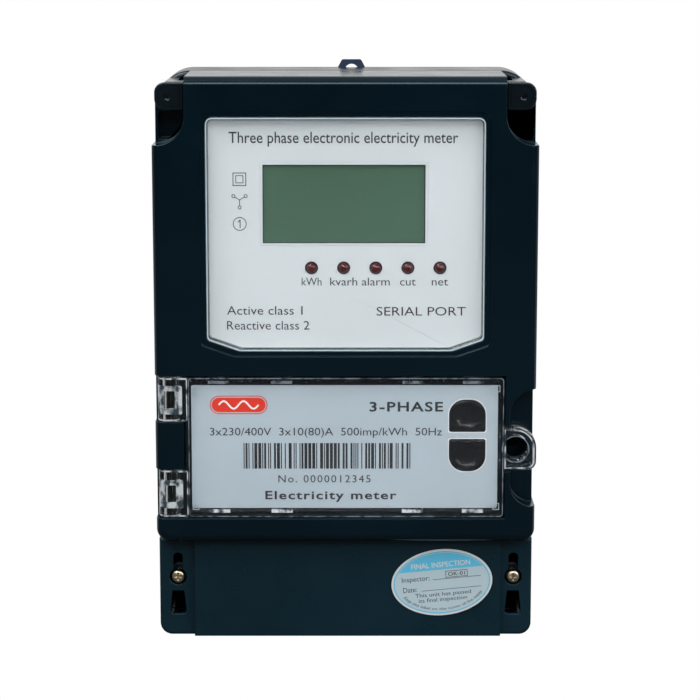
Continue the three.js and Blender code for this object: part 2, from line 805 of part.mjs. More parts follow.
function button(place) {
  const front = nameplateFace - buttonProud;
  const flangeFront = bayBack + gap;
  const flangeBack = flangeFront + buttonFlangeThickness;
  const halfWidth = buttonWidth / 2 + buttonFlange;
  const halfHeight = buttonHeight / 2 + buttonFlange;
  const dimple = turned([
    [0, front - past],
    [buttonDimpleRadius + past, front - past],
    [buttonDimpleRadius, front],
    [buttonDimpleRadius * 0.7, front + buttonDimple * 0.6],
    [buttonDimpleRadius * 0.35, front + buttonDimple * 0.93],
    [0, front + buttonDimple],
  ], buttonX, place.z);
  const flange = block(buttonX - halfWidth, buttonX + halfWidth, flangeFront, flangeBack,
    place.z - halfHeight, place.z + halfHeight);
  const stemEnd = boardFront - switchHeight - 2 * gap - buttonTravel;
  return join(
    cut(roundedPrism(buttonOutline(place, 0), front, flangeFront + rooted, buttonRounding, 2), dimple),
    flange,
    rod(buttonStemRadius, buttonX, place.z, flangeBack - rooted, stemEnd, 16),
  );
}

function buttonSwitch({ z }) {
  const half = switchWidth / 2;
  const back = boardFront - gap;
  return join(
    block(buttonX - half, buttonX + half, back - switchBody, back, z - half, z + half),
    rod(switchPlungerRadius, buttonX, z, back - switchHeight, back - rooted, 16),
  );
}

function nameplateDoor() {
  const front = face;
  const plateBack = face + doorPlate;
  const rimBack = face + doorRimDepth;
  const radii = [doorHingeCorner, doorCorner, doorCorner, doorHingeCorner];
  const shape = rectangle(hingeX, doorRight, doorBottom, doorTop, radii);
  const sheet = roundedPrism(shape, front, rimBack, doorRounding, 2);
  const hollow = block(bayLeft, doorRight - doorRim, plateBack, rimBack + past,
    doorBottom + doorRim, doorTop - doorRim);
  const behindHinge = block(hingeX - past, bayLeft + hingeLip, plateBack, rimBack + past,
    doorBottom - past, doorTop + past);

  const knuckles = [
    [doorTop - upperKnuckle, doorTop],
    [doorBottom, doorBottom + lowerKnuckle],
  ].map(([bottom, top]) => {
    const middle = (bottom + top) / 2;
    const barrel = post(knuckleRadius, hingeX, hingeY, bottom, top, 20);
    const opening = block(hingeX - knuckleWindowLeft, hingeX + knuckleWindowRight, face - past,
      face + knuckleWindowDepth, middle - knuckleWindow / 2, middle + knuckleWindow / 2);
    return { barrel, opening };
  });
  const postRoom = block(-side - past, bayLeft + hingeSideGap, face - past, 0,
    doorBottom + lowerKnuckle, doorTop - upperKnuckle);

  // The latch ear: a ring whose upper outer corner is rounded widest.
  const half = latchEarHeight / 2;
  const earRight = side + latchOverhang;
  const earShape = rectangle(doorRight - doorRim / 2, earRight, latchZ - half, latchZ + half,
    [0, earCorner, earWideCorner, 0], 8);
  const ear = roundedPrism(earShape, front, face + latchEarDepth, earRounding, 2);
  const earHole = rod(latchHoleRadius, latchX, latchZ, face - past, 0, 24);

  // Small stops that lean on the bay's floor along the upper and lower rims.
  const tabs = stopTabXs.flatMap((x) => [
    block(x - stopTabWidth / 2, x + stopTabWidth / 2, plateBack - stopTabSunk, rimBack - stopTabShort,
      doorTop - doorRim - stopTabHeight, doorTop - doorRim + stopTabSunk),
    block(x - stopTabWidth / 2, x + stopTabWidth / 2, plateBack - stopTabSunk, rimBack - stopTabShort,
      doorBottom + doorRim - stopTabSunk, doorBottom + doorRim + stopTabHeight),
  ]);
  const pane = cut(sheet, hollow, behindHinge, postRoom);
  const door = join(pane, ...knuckles.map(({ barrel }) => barrel), ear, ...tabs);
  return cut(door, earHole, ...knuckles.map(({ opening }) => opening),
    post(pinRadius + gap, hingeX, hingeY, doorBottom - past, doorTop + past));
}

function hingePin(bottom, top) {
  return post(pinRadius, hingeX, hingeY, bottom, top, 12);
}

// ---------------------------------------------------------------- terminal cover and its screws

function terminalCover() {
  const right = side - terminalSideInset;
  const top = frontCoverBottom - coverSplit;
  const radii = [terminalCornerRadius, terminalCornerRadius, 0, 0];
  const inner = [terminalCornerRadius - terminalWall, terminalCornerRadius - terminalWall, 0, 0];
  const shape = rectangle(-right, right, caseBottom, top, radii);
  const body = roundedPrism(shape, sideZone, coverBack, terminalRounding);
  const panelShape = rectangle(-side + panelLeftMargin, side - panelRightMargin, caseBottom, top);
  const panelBack = sideZone + terminalRounding + rooted;
  const panel = roundedPrism(panelShape, terminalFace, panelBack, panelRounding, 2);
  const hollow = rectangle(-right + terminalWall, right - terminalWall,
    caseBottom + terminalWall, top + past, inner);
  const keyholes = [-1, 1].flatMap((hand) => [
    rod(keyholeRadius, hand * keyholeX, keyholeZ, face, 0, 20),
    prism(rectangle(hand * keyholeX - keyholeSlotWidth / 2, hand * keyholeX + keyholeSlotWidth / 2,
      keyholeZ, keyholeZ + keyholeSlotTop, [0, 0, keyholeSlotCorner, keyholeSlotCorner]), face, 0),
  ]);
  const pocketTop = caseBottom + sealPocketTop;
  const pocketBottom = pocketTop - sealPocketHeight;
  const pockets = [-1, 1].map((hand) => {
    const x = hand * keyholeX;
    const half = sealPocketBottomWidth / 2;
    return prism(outline([
      [x - sealPocketTopWidth / 2, pocketTop, sealPocketTopCorner],
      [x - half, pocketBottom, sealPocketBottomCorner],
      [x + half, pocketBottom, sealPocketBottomCorner],
      [x + sealPocketTopWidth / 2, pocketTop, sealPocketTopCorner],
    ]), face, 0);
  });
  return cut(join(body, panel), prism(hollow, sideZone + terminalWall, 0), ...keyholes, ...pockets);
}

function sticker() {
  const oval = new THREE.EllipseCurve(stickerX, stickerZ, stickerWidth / 2, stickerHeight / 2,
    0, 2 * Math.PI, false, THREE.MathUtils.degToRad(stickerTilt));
  return prism(oval.getPoints(36).slice(0, -1), terminalFace - gap - stickerThickness, terminalFace - gap);
}

// ---------------------------------------------------------------- terminal block

function terminalBlock() {
  const pocketHalf = terminalPitch / 2 - partition / 2;
  const pocketFront = -blockBack - terminalBackInset - terminalDepth - 2 * gap;
  const body = block(-blockSide, blockSide, blockFront, -blockBack, blockBottom, blockTop);
  const tools = terminalXs.flatMap((x) => [
    block(x - pocketHalf, x + pocketHalf, pocketFront, 0, blockBottom + blockFloor, blockTop - pocketRoof),
    post(wireMouthRadius, x, wireY, blockBottom - past, blockBottom + blockFloor + past),
    ...clampZs.map((z) => rod(clampHeadRadius + screwClearance, x, z, face, pocketFront + past, 12)),
    ...clampZs.map((z) => rod(clampScrewRadius + screwClearance, x, z, face, wireY, 12)),
  ]);
  return cut(body, ...tools);
}

function terminal(x) {
  const half = terminalPitch / 2 - partition / 2 - gap;
  const back = -blockBack - terminalBackInset;
  const front = back - terminalDepth;
  return cut(
    block(x - half, x + half, front, back, terminalBottom, terminalTop),
    post(wireRadius, x, wireY, terminalBottom - past, terminalTop - wireTopLeft),
    ...clampZs.map((z) => rod(clampScrewRadius + screwClearance, x, z, face, wireY, 12)),
    ...clampZs.map((z) => rod(clampHeadRadius + screwClearance, x, z, face, clampSeat + gap, 12)),
  );
}

function clampScrew(x, z) {
  return screw(clampSeat - clampHeadHeight, clampHeadHeight, clampHeadRadius, clampScrewRadius,
    wireY - wireRadius, x, z, 10);
}

function auxiliaryTerminals() {
  const half = auxiliaryWidth / 2;
  const top = blockTop - auxiliaryDrop;
  const back = blockFront - gap;
  const pitch = auxiliaryWidth / auxiliaryHoles;
  const body = block(auxiliaryX - half, auxiliaryX + half, back - auxiliaryDepth, back,
    top - auxiliaryHeight, top);
  const holes = Array.from({ length: auxiliaryHoles }, (_, i) => {
    const x = auxiliaryX - half + (i + 0.5) * pitch;
    return rod(auxiliaryHoleRadius, x, top - auxiliaryHeight / 2, back - auxiliaryDepth - past,
      back - auxiliaryFloor, 8);
  });
  return cut(body, ...holes);
}

// ---------------------------------------------------------------- inside the case

function mainBoard() {
  const right = side - boardSideMargin;
  return block(-right, right, boardFront, boardBack,
    frontCoverBottom + boardBottomMargin, caseTop - boardTopMargin);
}

// A current transformer's ring, turned about Y.
function currentTransformer(x) {
  const back = baseInside - ringLift;
  const front = back - ringHeight;
  const profile = [
    [ringBore, back],
    [ringBore, front],
    [ringRadius, front],
    [ringRadius, back],
    [ringBore, back],
  ];
  return turned(profile, x, frontCoverBottom + ringRise, 18);
}

function powerTransformer() {
  const z = caseTop - transformerDrop;
  const front = boardBack + transformerRoom;
  const back = baseInside - transformerLift;
  const core = block(transformerX - coreWidth / 2, transformerX + coreWidth / 2,
    front + coreFront, back - coreBack, z - coreHeight / 2, z + coreHeight / 2);
  const winding = block(transformerX - windingWidth / 2, transformerX + windingWidth / 2,
    front, back, z - windingHeight / 2, z + windingHeight / 2);
  return join(core, winding);
}

function disconnectRelay() {
  const bottom = frontCoverBottom + relayRise;
  return block(relayX - relayWidth / 2, relayX + relayWidth / 2,
    boardBack + relayRoom, baseInside - relayLift, bottom, bottom + relayHeight);
}

function backupBattery() {
  const geometry = new THREE.CylinderGeometry(batteryRadius, batteryRadius, batteryLength, 16);
  const y = boardBack + batteryRoom + batteryRadius;
  return solid(geometry.rotateZ(Math.PI / 2).translate(batteryX, y, caseTop - batteryDrop));
}

// ---------------------------------------------------------------- assembly

piece('base_shell', baseShell(), satinBlack());
piece('front_cover', frontCover(), glossBlack());
piece('window_lens', windowLens(), clearPlastic());
piece('faceplate', faceplate(), printedGrey());
piece('lcd_panel', displayBlock(displayLap, displayFront, displayBack), finish(0x506e5a, 0.25));
piece('lcd_backlight', displayBlock(-backlightInset, displayBack + gap, boardFront - gap),
  finish(0xe6e8e2, 0.5));
lampXs.forEach((x, i) => piece(`led_${i + 1}`, lamp(x), finish(0x4a0d14, 0.2)));
piece('nameplate', nameplate(), finish(0xb2bec6, 0.45));
buttons.forEach((place) => {
  piece(`${place.name}_button`, button(place), finish(0x0c1013, 0.35));
  piece(`${place.name}_button_switch`, buttonSwitch(place), darkPlastic());
});
piece('nameplate_door', nameplateDoor(), clearPlastic());
piece('upper_hinge_pin', hingePin(doorTop - upperKnuckle - pinSeat, doorTop + swing + pinSeat), steel());
piece('lower_hinge_pin', hingePin(doorBottom - swing - pinSeat, doorBottom + lowerKnuckle + pinSeat),
  steel());
piece('cover_lock_screw', screw(scoopFloor + lockBoreDepth - gap - lockHeadHeight, lockHeadHeight,
  lockHeadRadius, screwRadius, -screwEnd, latchX, latchZ), darkPlastic());
[[-1, 'left'], [1, 'right']].forEach(([hand, name]) => {
  piece(`${name}_corner_cap`, cornerCap(hand), glossBlack());
  piece(`${name}_case_screw`, screw(caseScrewSeat - gap - screwHeadHeight, screwHeadHeight, screwHeadRadius,
    screwRadius, -screwEnd, hand * caseScrewX, caseScrewZ), steel());
  piece(`${name}_cover_screw`, screw(sealScrewFront, sealScrewHeadHeight, sealScrewHeadRadius,
    screwRadius, -screwEnd, hand * keyholeX, keyholeZ), zincPlate());
});
piece('terminal_cover', terminalCover(), satinBlack());
piece('quality_sticker', sticker(), finish(0xe8eef2, 0.4));
piece('hanger', hanger(), finish(0x1b2f4a, 0.4));
piece('terminal_block', terminalBlock(), darkPlastic());
piece('auxiliary_terminals', auxiliaryTerminals(), finish(0x2f7a4a, 0.5));
terminalXs.forEach((x, i) => {
  piece(`terminal_${i + 1}`, terminal(x), brass());
  clampZs.forEach((z, k) => piece(`clamp_screw_${i + 1}${'ab'[k]}`, clampScrew(x, z), steel()));
});
piece('main_board', mainBoard(), finish(0x1f5a38, 0.5));
ringXs.forEach((x, i) => piece(`current_transformer_${i + 1}`, currentTransformer(x), finish(0x2a5d9a, 0.5)));
piece('power_transformer', powerTransformer(), finish(0xc9a83a, 0.5));
piece('disconnect_relay', disconnectRelay(), finish(0x2b2f33, 0.5));
piece('backup_battery', backupBattery(), finish(0x3d6f3f, 0.4));

export default meter;
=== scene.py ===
"""Looks of the smart electric meter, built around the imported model.

Lengths are millimetres until a piece is made; made() turns them into metres. X runs to the right, Z up, the wall is
y = 0 and the front faces -Y.
"""

import math
import random

import bmesh
import bpy
from mathutils import Matrix, Vector


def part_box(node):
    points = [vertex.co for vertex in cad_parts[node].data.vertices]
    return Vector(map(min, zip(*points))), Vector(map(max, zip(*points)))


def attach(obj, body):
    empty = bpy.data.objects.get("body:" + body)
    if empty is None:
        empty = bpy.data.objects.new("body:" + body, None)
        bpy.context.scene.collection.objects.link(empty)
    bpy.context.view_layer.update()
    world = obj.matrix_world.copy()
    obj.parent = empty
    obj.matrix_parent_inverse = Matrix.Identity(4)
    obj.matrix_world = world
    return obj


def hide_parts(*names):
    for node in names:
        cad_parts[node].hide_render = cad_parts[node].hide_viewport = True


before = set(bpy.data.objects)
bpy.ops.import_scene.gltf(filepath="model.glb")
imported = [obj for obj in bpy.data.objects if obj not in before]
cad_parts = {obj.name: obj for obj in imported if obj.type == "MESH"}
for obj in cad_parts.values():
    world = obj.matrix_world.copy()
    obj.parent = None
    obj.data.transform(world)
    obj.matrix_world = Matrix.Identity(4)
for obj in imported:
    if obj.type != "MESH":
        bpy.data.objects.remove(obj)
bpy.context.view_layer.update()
MM = 0.001


# ------------------------------------------------------------------ places, from the frame

def span(node):
    """A CAD node's box in millimetres: x0, x1, y0, y1, z0, z1."""
    low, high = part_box(node)
    return [value / MM for pair in zip(low, high) for value in pair]


SIDE = span("base_shell")[1]
CASE_BOTTOM, CASE_TOP = span("base_shell")[4:]
BASE_FRONT = -30.0
FACE = span("front_cover")[2]
COVER_BACK = span("front_cover")[3]
COVER_BOTTOM = span("front_cover")[4]
LENS = span("window_lens")
PLATE = span("faceplate")
LCD = span("lcd_panel")
DOOR = span("nameplate_door")
LABEL = span("nameplate")
UPPER = span("upper_hinge_pin")
TERMINAL = span("terminal_cover")
STICKER = span("quality_sticker")
HANGER = span("hanger")

WALL = 2.5
GAP = 0.3
SWING = 0.6
TOP_RADIUS = 14.5
BOTTOM_RADIUS = 6.0
NOTCH_WIDTH = 14.5
NOTCH_HEIGHT = 30.0
NOTCH_RADIUS = 13.0
NOTCH_FLOOR = FACE + 14
SIDE_STEP = 0.9
CAP_WIDTH = 12.9
CAP_HEIGHT = 12.2
CAP_TOP_INSET = 3.2
CAP_FACE = FACE + 10
CAP_SEAT = CAP_FACE + 2.7
CASE_SCREW_X = SIDE - 6.5
CASE_SCREW_Z = CASE_TOP - 9.6
WINDOW_SIDE = LENS[1]
WINDOW_BOTTOM = LENS[4]
WINDOW_TOP = LENS[5]
DOOR_TOP = DOOR[5]
DOOR_BOTTOM = DOOR[4]
DOOR_RIGHT = SIDE - 14.3
HINGE_X = (UPPER[0] + UPPER[1]) / 2
HINGE_Y = (UPPER[2] + UPPER[3]) / 2
KNUCKLE = 4.8
UPPER_KNUCKLE = 20.0
LOWER_KNUCKLE = 21.6
BAY_LEFT = -SIDE + 13.4
BAY_FLOOR = FACE + 8.6
BAY_BACK = BAY_FLOOR + 4.2
PLATEAU = LABEL[3] + GAP
DOOR_PLATE_BACK = FACE + 2
DOOR_RIM_BACK = FACE + 8
DOOR_RIM = 1.6
KNUCKLES = {"upper": (DOOR_TOP - UPPER_KNUCKLE, DOOR_TOP), "lower": (DOOR_BOTTOM, DOOR_BOTTOM + LOWER_KNUCKLE)}
KNUCKLE_LEFT = HINGE_X - 1.9
KNUCKLE_RIGHT = HINGE_X + 3.1
STOP_XS = (-56.5, -28.5, 30, 57)
STOP_HALF = 4.75
EAR = 9.6
LATCH_HOLE = 5.7
LATCH_X = SIDE - 9.1
LATCH_Z = DOOR_TOP - 32.5
SCOOP_FLOOR = FACE + 10
BUTTON_X = sum(span("upper_button")[:2]) / 2
BUTTONS = {
    "upper_button": (sum(span("upper_button")[4:]) / 2, 1),
    "lower_button": (sum(span("lower_button")[4:]) / 2, -1),
}
TERMINAL_FACE = TERMINAL[2]
SIDE_ZONE = TERMINAL_FACE + 2.5
KEYHOLE_X = SIDE - 8.8
KEYHOLE_Z = sum(span("left_cover_screw")[4:]) / 2
LAMP_XS = [sum(span(f"led_{i}")[:2]) / 2 for i in range(1, 6)]
LAMP_Z = sum(span("led_1")[4:]) / 2
WIRE_XS = [sum(span(f"terminal_{i}")[:2]) / 2 for i in range(1, 8)]


# ------------------------------------------------------------------ camera, lights and floor

def placed(name, data):
    thing = bpy.data.objects.new(name, data)
    bpy.context.scene.collection.objects.link(thing)
    return thing


def fill(node, **values):
    """Sets a node's input sockets; an underscore in a name stands for a space."""
    for name, value in values.items():
        node.inputs[name.replace("_", " ")].default_value = value


def place_camera():
    """In front of the meter and 10 degrees above it."""
    pitch = math.radians(10)
    distance = 1.065
    target = Vector((0.0020, FACE * MM, 0.0070))
    data = bpy.data.cameras.new("camera")
    data.sensor_width = 36
    data.lens = 123.6
    data.clip_end = 20
    camera = placed("camera", data)
    camera.location = target + distance * Vector((0, -math.cos(pitch), math.sin(pitch)))
    camera.rotation_euler = (math.radians(90) - pitch, 0, 0)
    bpy.context.scene.camera = camera


def area_light(name, place, aim, size, power, colour=(1, 1, 1)):
    data = bpy.data.lights.new(name, "AREA")
    data.shape = "RECTANGLE"
    data.size, data.size_y = size
    data.energy = power
    data.color = colour
    light = placed(name, data)
    light.location = place
    light.rotation_euler = (Vector(aim) - Vector(place)).to_track_quat("-Z", "Y").to_euler()


def studio_world():
    """Soft daylight: bright behind and above the object, dim in front of it and below."""
    world = bpy.data.worlds.new("studio")
    bpy.context.scene.world = world
    world.use_nodes = True
    nodes, links = world.node_tree.nodes, world.node_tree.links
    nodes.clear()
    out = nodes.new("ShaderNodeOutputWorld")
    mix = nodes.new("ShaderNodeMixShader")
    path = nodes.new("ShaderNodeLightPath")
    seen = nodes.new("ShaderNodeBackground")
    fill(seen, Color=(1, 1, 1, 1), Strength=1.0)
    soft = nodes.new("ShaderNodeBackground")
    coordinates = nodes.new("ShaderNodeTexCoord")
    axes = nodes.new("ShaderNodeSeparateXYZ")
    behind = nodes.new("ShaderNodeMapRange")
    fill(behind, From_Min=0.1, From_Max=0.75, To_Min=0.0, To_Max=0.95)
    above = nodes.new("ShaderNodeMapRange")
    fill(above, From_Min=-0.1, From_Max=1.0, To_Min=0.02, To_Max=0.6)
    total = nodes.new("ShaderNodeMath")
    total.operation = "MAXIMUM"
    links.new(coordinates.outputs["Generated"], axes.inputs[0])
    links.new(axes.outputs["Y"], behind.inputs["Value"])
    links.new(axes.outputs["Z"], above.inputs["Value"])
    links.new(behind.outputs["Result"], total.inputs[0])
    links.new(above.outputs["Result"], total.inputs[1])
    links.new(total.outputs[0], soft.inputs["Strength"])
    links.new(path.outputs["Is Camera Ray"], mix.inputs["Fac"])
    links.new(soft.outputs[0], mix.inputs[1])
    links.new(seen.outputs[0], mix.inputs[2])
    links.new(mix.outputs[0], out.inputs["Surface"])


def floor():
    """A plain pale floor, white to the camera; to the meter it is grey, with a painted pool of light that brightens it
    close to the meter.
    """
    mesh = bpy.data.meshes.new("floor")
    size = 3.0
    level = (CASE_BOTTOM - 0.3) * MM
    mesh.from_pydata([(-size, -size, level), (size, -size, level), (size, size, level), (-size, size, level)],
                     [], [(0, 1, 2, 3)])
    ground = placed("floor", mesh)
    pale = bpy.data.materials.new("pale_floor")
    pale.use_nodes = True
    nodes, links = pale.node_tree.nodes, pale.node_tree.links
    shader = nodes["Principled BSDF"]
    near = nodes.new("ShaderNodeTexCoord")
    axes = nodes.new("ShaderNodeSeparateXYZ")
    links.new(near.outputs["Object"], axes.inputs[0])
    # Painted light: the floor's colour rises from dark grey further in front to pale close to the meter, a pool of
    # light for its lower edges to reflect.
    links.new(ramp(pale, axes.outputs["Y"], (0.08, 0.08, 0.08), (0.50, 0.51, 0.52), -0.5, -0.2),
              shader.inputs["Base Color"])
    fill(shader, Roughness=1.0, Specular_IOR_Level=0.0)
    white = nodes.new("ShaderNodeEmission")
    fill(white, Strength=1.0)
    path = nodes.new("ShaderNodeLightPath")
    mix = nodes.new("ShaderNodeMixShader")
    links.new(path.outputs["Is Camera Ray"], mix.inputs["Fac"])
    links.new(shader.outputs[0], mix.inputs[1])
    links.new(white.outputs[0], mix.inputs[2])
    links.new(mix.outputs[0], nodes["Material Output"].inputs["Surface"])
    mesh.materials.append(pale)


# ------------------------------------------------------------------ materials

def new_material(name, colour, roughness, metallic=0.0):
    material = bpy.data.materials.new(name)
    material.use_nodes = True
    shader = material.node_tree.nodes["Principled BSDF"]
    fill(shader, Base_Color=(*colour, 1), Roughness=roughness, Metallic=metallic)
    return material, shader


def noise(material, scale, detail=3.0, seed=0.0, stretch=(1, 1, 1)):
    """Noise in the object's own metres."""
    nodes, links = material.node_tree.nodes, material.node_tree.links
    coordinates = nodes.new("ShaderNodeTexCoord")
    mapping = nodes.new("ShaderNodeMapping")
    fill(mapping, Location=(seed, seed * 1.7, seed * 2.3), Scale=stretch)
    texture = nodes.new("ShaderNodeTexNoise")
    fill(texture, Scale=scale, Detail=detail)
    links.new(coordinates.outputs["Object"], mapping.inputs["Vector"])
    links.new(mapping.outputs["Vector"], texture.inputs["Vector"])
    return texture.outputs["Fac"]


def ramp(material, factor, low, high, start=0.3, end=0.7):
    """Maps a factor to a value or to a colour between low and high."""
    nodes, links = material.node_tree.nodes, material.node_tree.links
    if isinstance(low, tuple):
        node = nodes.new("ShaderNodeValToRGB")
        node.color_ramp.elements[0].position = start
        node.color_ramp.elements[1].position = end
        node.color_ramp.elements[0].color = (*low, 1)
        node.color_ramp.elements[1].color = (*high, 1)
        links.new(factor, node.inputs["Fac"])
        return node.outputs["Color"]
    node = nodes.new("ShaderNodeMapRange")
    fill(node, From_Min=start, From_Max=end, To_Min=low, To_Max=high)
    links.new(factor, node.inputs["Value"])
    return node.outputs["Result"]


def bump(material, shader, height, depth, strength=1.0):
    nodes, links = material.node_tree.nodes, material.node_tree.links
    node = nodes.new("ShaderNodeBump")
    fill(node, Distance=depth, Strength=strength)
    links.new(height, node.inputs["Height"])
    links.new(node.outputs["Normal"], shader.inputs["Normal"])


def moulded(name, colour, roughness, grain=2600.0, depth=0.00003, spread=0.06, shade=0.18, coat=0.0):
    """Moulded plastic: a fine grain, slow colour drift and uneven gloss."""
    material, shader = new_material(name, colour, roughness)
    links = material.node_tree.links
    dark = tuple(channel * (1 - shade) for channel in colour)
    light = tuple(min(1.0, channel * (1 + shade)) for channel in colour)
    links.new(ramp(material, noise(material, 18.0, 4.0, 3.1), dark, light), shader.inputs["Base Color"])
    links.new(ramp(material, noise(material, 60.0, 5.0, 7.7), roughness - spread, roughness + spread),
              shader.inputs["Roughness"])
    bump(material, shader, noise(material, grain, 2.0, 1.3), depth)
    fill(shader, Coat_Weight=coat, Coat_Roughness=0.08)
    return material


def tinted(material, tint):
    """Colours the gloss of a dark plastic."""
    fill(material.node_tree.nodes["Principled BSDF"], Specular_Tint=(*tint, 1))
    return material


def metal(name, colour, roughness, grain=900.0, stretch=(1, 1, 1)):
    material, shader = new_material(name, colour, roughness, 1.0)
    links = material.node_tree.links
    worn = tuple(channel * 0.62 for channel in colour)
    links.new(ramp(material, noise(material, 220.0, 5.0, 2.2), worn, colour, 0.32, 0.6), shader.inputs["Base Color"])
    links.new(ramp(material, noise(material, 400.0, 4.0, 5.5, stretch), roughness - 0.1, roughness + 0.15),
              shader.inputs["Roughness"])
    bump(material, shader, noise(material, grain, 3.0, 9.1, stretch), 0.00006)
    return material


def clear(name, tint, roughness=0.03, ior=1.52):
    """Clear moulded plastic with faint flow marks."""
    material, shader = new_material(name, tint, roughness)
    fill(shader, Transmission_Weight=1.0, IOR=ior)
    links = material.node_tree.links
    links.new(ramp(material, noise(material, 90.0, 4.0, 4.4), roughness, roughness + 0.03),
              shader.inputs["Roughness"])
    bump(material, shader, noise(material, 25.0, 2.0, 6.1), 0.00004, 0.1)
    return material


def painted_edge_light(name, dark, light):
    """Opaque stand-in for thick clear plastic seen edge on: painted highlights and painted shade in broken light and
    dark patches.
    """
    material, shader = new_material(name, light, 0.14)
    links = material.node_tree.links
    links.new(ramp(material, noise(material, 340.0, 3.0, 6.6, (1, 1, 0.6)), dark, light, 0.40, 0.56),
              shader.inputs["Base Color"])
    bump(material, shader, noise(material, 700.0, 2.0, 2.9), 0.00006)
    return material


MATERIALS = {}


def material(name):
    return MATERIALS[name]


def make_materials():
    MATERIALS.update({
        "cover": tinted(moulded("cover_gloss", (0.0014, 0.0080, 0.0145), 0.16, 3200.0, 0.000012, 0.04),
                        (0.6, 0.88, 1.0)),
        "base": moulded("base_satin", (0.0050, 0.0130, 0.0200), 0.24, 2400.0, 0.00003),
        "terminal_cover": tinted(moulded("terminal_satin", (0.0050, 0.0230, 0.0360), 0.30, 2400.0, 0.00003),
                                 (0.7, 0.92, 1.0)),
        "cap": moulded("cap_gloss", (0.0030, 0.0090, 0.0140), 0.20, 3000.0, 0.00002),
        "button": moulded("button_black", (0.0060, 0.0080, 0.0100), 0.17, 3000.0, 0.00003),
        "dark": moulded("dark_plastic", (0.020, 0.021, 0.023), 0.5, 1800.0, 0.00005),
        "hanger": moulded("hanger_blue", (0.012, 0.028, 0.065), 0.38, 2000.0, 0.00004),
        "faceplate": moulded("faceplate_grey", (0.66, 0.715, 0.745), 0.5, 4200.0, 0.000015, 0.05, 0.02),
        "label": moulded("label_silver", (0.475, 0.560, 0.620), 0.42, 5200.0, 0.00002, 0.05, 0.025),
        "lcd": moulded("lcd_grey_green", (0.072, 0.140, 0.098), 0.20, 3800.0, 0.000012, 0.03, 0.06),
        "white": moulded("white_plastic", (0.80, 0.81, 0.79), 0.45),
        "paper": moulded("sticker_white", (0.62, 0.78, 0.86), 0.35, 4000.0, 0.00002, 0.05, 0.02),
        "board": moulded("board_green", (0.012, 0.085, 0.040), 0.35, 900.0, 0.00006),
        "resin": moulded("resin_blue", (0.02, 0.08, 0.27), 0.45, 900.0, 0.00008),
        "tape": moulded("tape_yellow", (0.50, 0.34, 0.05), 0.4, 500.0, 0.00010),
        "sleeve": moulded("battery_green", (0.05, 0.16, 0.05), 0.35),
        "connector": moulded("connector_green", (0.02, 0.18, 0.07), 0.45, 1800.0, 0.00005),
        "steel": metal("zinc_steel", (0.62, 0.63, 0.64), 0.34),
        "zinc": metal("yellow_zinc", (0.86, 0.76, 0.55), 0.30, 1400.0),
        "brass": metal("brass", (0.74, 0.55, 0.22), 0.3),
        "blackened": metal("black_oxide", (0.012, 0.012, 0.014), 0.55),
        "window": clear("window_clear", (0.985, 0.99, 0.99)),
        "door": clear("door_clear", (0.975, 0.985, 0.99), 0.035),
        # Painted highlights for the door's clear edges where they catch light: a bright one and a dim one.
        "edge_glint": painted_edge_light("door_edge_glints", (0.05, 0.07, 0.09), (0.72, 0.78, 0.82)),
        "dim_edge_glint": painted_edge_light("door_dim_glints", (0.03, 0.045, 0.06), (0.24, 0.29, 0.34)),
        # Painted shade for the display's recessed edge.
        "lcd_recess_shade": moulded("lcd_recess_shade", (0.028, 0.045, 0.036), 0.3, 3000.0, 0.00002),
        "ink": moulded("ink_black", (0.020, 0.022, 0.026), 0.5),
        "ink_blue": moulded("ink_blue", (0.15, 0.68, 0.98), 0.4, shade=0.02),
        "ink_red": moulded("ink_red", (0.78, 0.035, 0.012), 0.4, shade=0.05),
        "ink_white": moulded("ink_white", (0.88, 0.89, 0.89), 0.4, shade=0.02),
    })
    lamp, shader = new_material("lamp_red", (0.05, 0.001, 0.002), 0.08)
    fill(shader, Coat_Weight=0.6, Coat_Roughness=0.05)
    lamp.node_tree.links.new(ramp(lamp, noise(lamp, 500.0, 3.0, 8.8), (0.030, 0.0008, 0.0014), (0.085, 0.0015, 0.003)),
                             shader.inputs["Base Color"])
    bump(lamp, shader, noise(lamp, 900.0, 2.0, 1.9), 0.00004)
    MATERIALS["lamp"] = lamp


# ------------------------------------------------------------------ shape tools

def outline(corners, steps=8):
    """A closed outline from (x, z, radius) corners, each rounded by an arc."""
    points = []
    count = len(corners)
    for i, (x, z, radius) in enumerate(corners):
        corner = Vector((x, z))
        if radius <= 0:
            points.append(corner)
            continue
        back = (Vector(corners[i - 1][:2]) - corner).normalized()
        ahead = (Vector(corners[(i + 1) % count][:2]) - corner).normalized()
        half = back.angle(ahead) / 2
        centre = corner + (back + ahead).normalized() * radius / math.sin(half)
        first = corner + back * radius / math.tan(half) - centre
        last = corner + ahead * radius / math.tan(half) - centre
        start = math.atan2(first.y, first.x)
        sweep = math.atan2(last.y, last.x) - start
        sweep = math.atan2(math.sin(sweep), math.cos(sweep))
        for step in range(steps + 1):
            angle = start + sweep * step / steps
            points.append(centre + radius * Vector((math.cos(angle), math.sin(angle))))
    return points


def rectangle(x0, x1, z0, z1, radii=(0, 0, 0, 0), steps=8):
    """Radii go lower left, lower right, upper right, upper left."""
    corners = zip((x0, x1, x1, x0), (z0, z0, z1, z1), radii)
    return outline(list(corners), steps)


def circle(x, z, radius, sides=48):
    turn = 2 * math.pi / sides
    return [Vector((x + radius * math.cos(i * turn), z + radius * math.sin(i * turn))) for i in range(sides)]


def anticlockwise(points):
    area = sum(a.x * b.y - b.x * a.y for a, b in zip(points, points[1:] + points[:1]))
    return points if area > 0 else points[::-1]


def shrunk(points, amount):
    """The outline moved inwards by amount, corner by corner."""
    moved = []
    count = len(points)
    for i, point in enumerate(points):
        before = (point - points[i - 1]).normalized()
        after = (points[(i + 1) % count] - point).normalized()
        normal = Vector((-before.y, before.x)) + Vector((-after.y, after.x))
        normal.normalize()
        along = max(0.3, normal.dot(Vector((-before.y, before.x))))
        moved.append(point + normal * amount / along)
    return moved


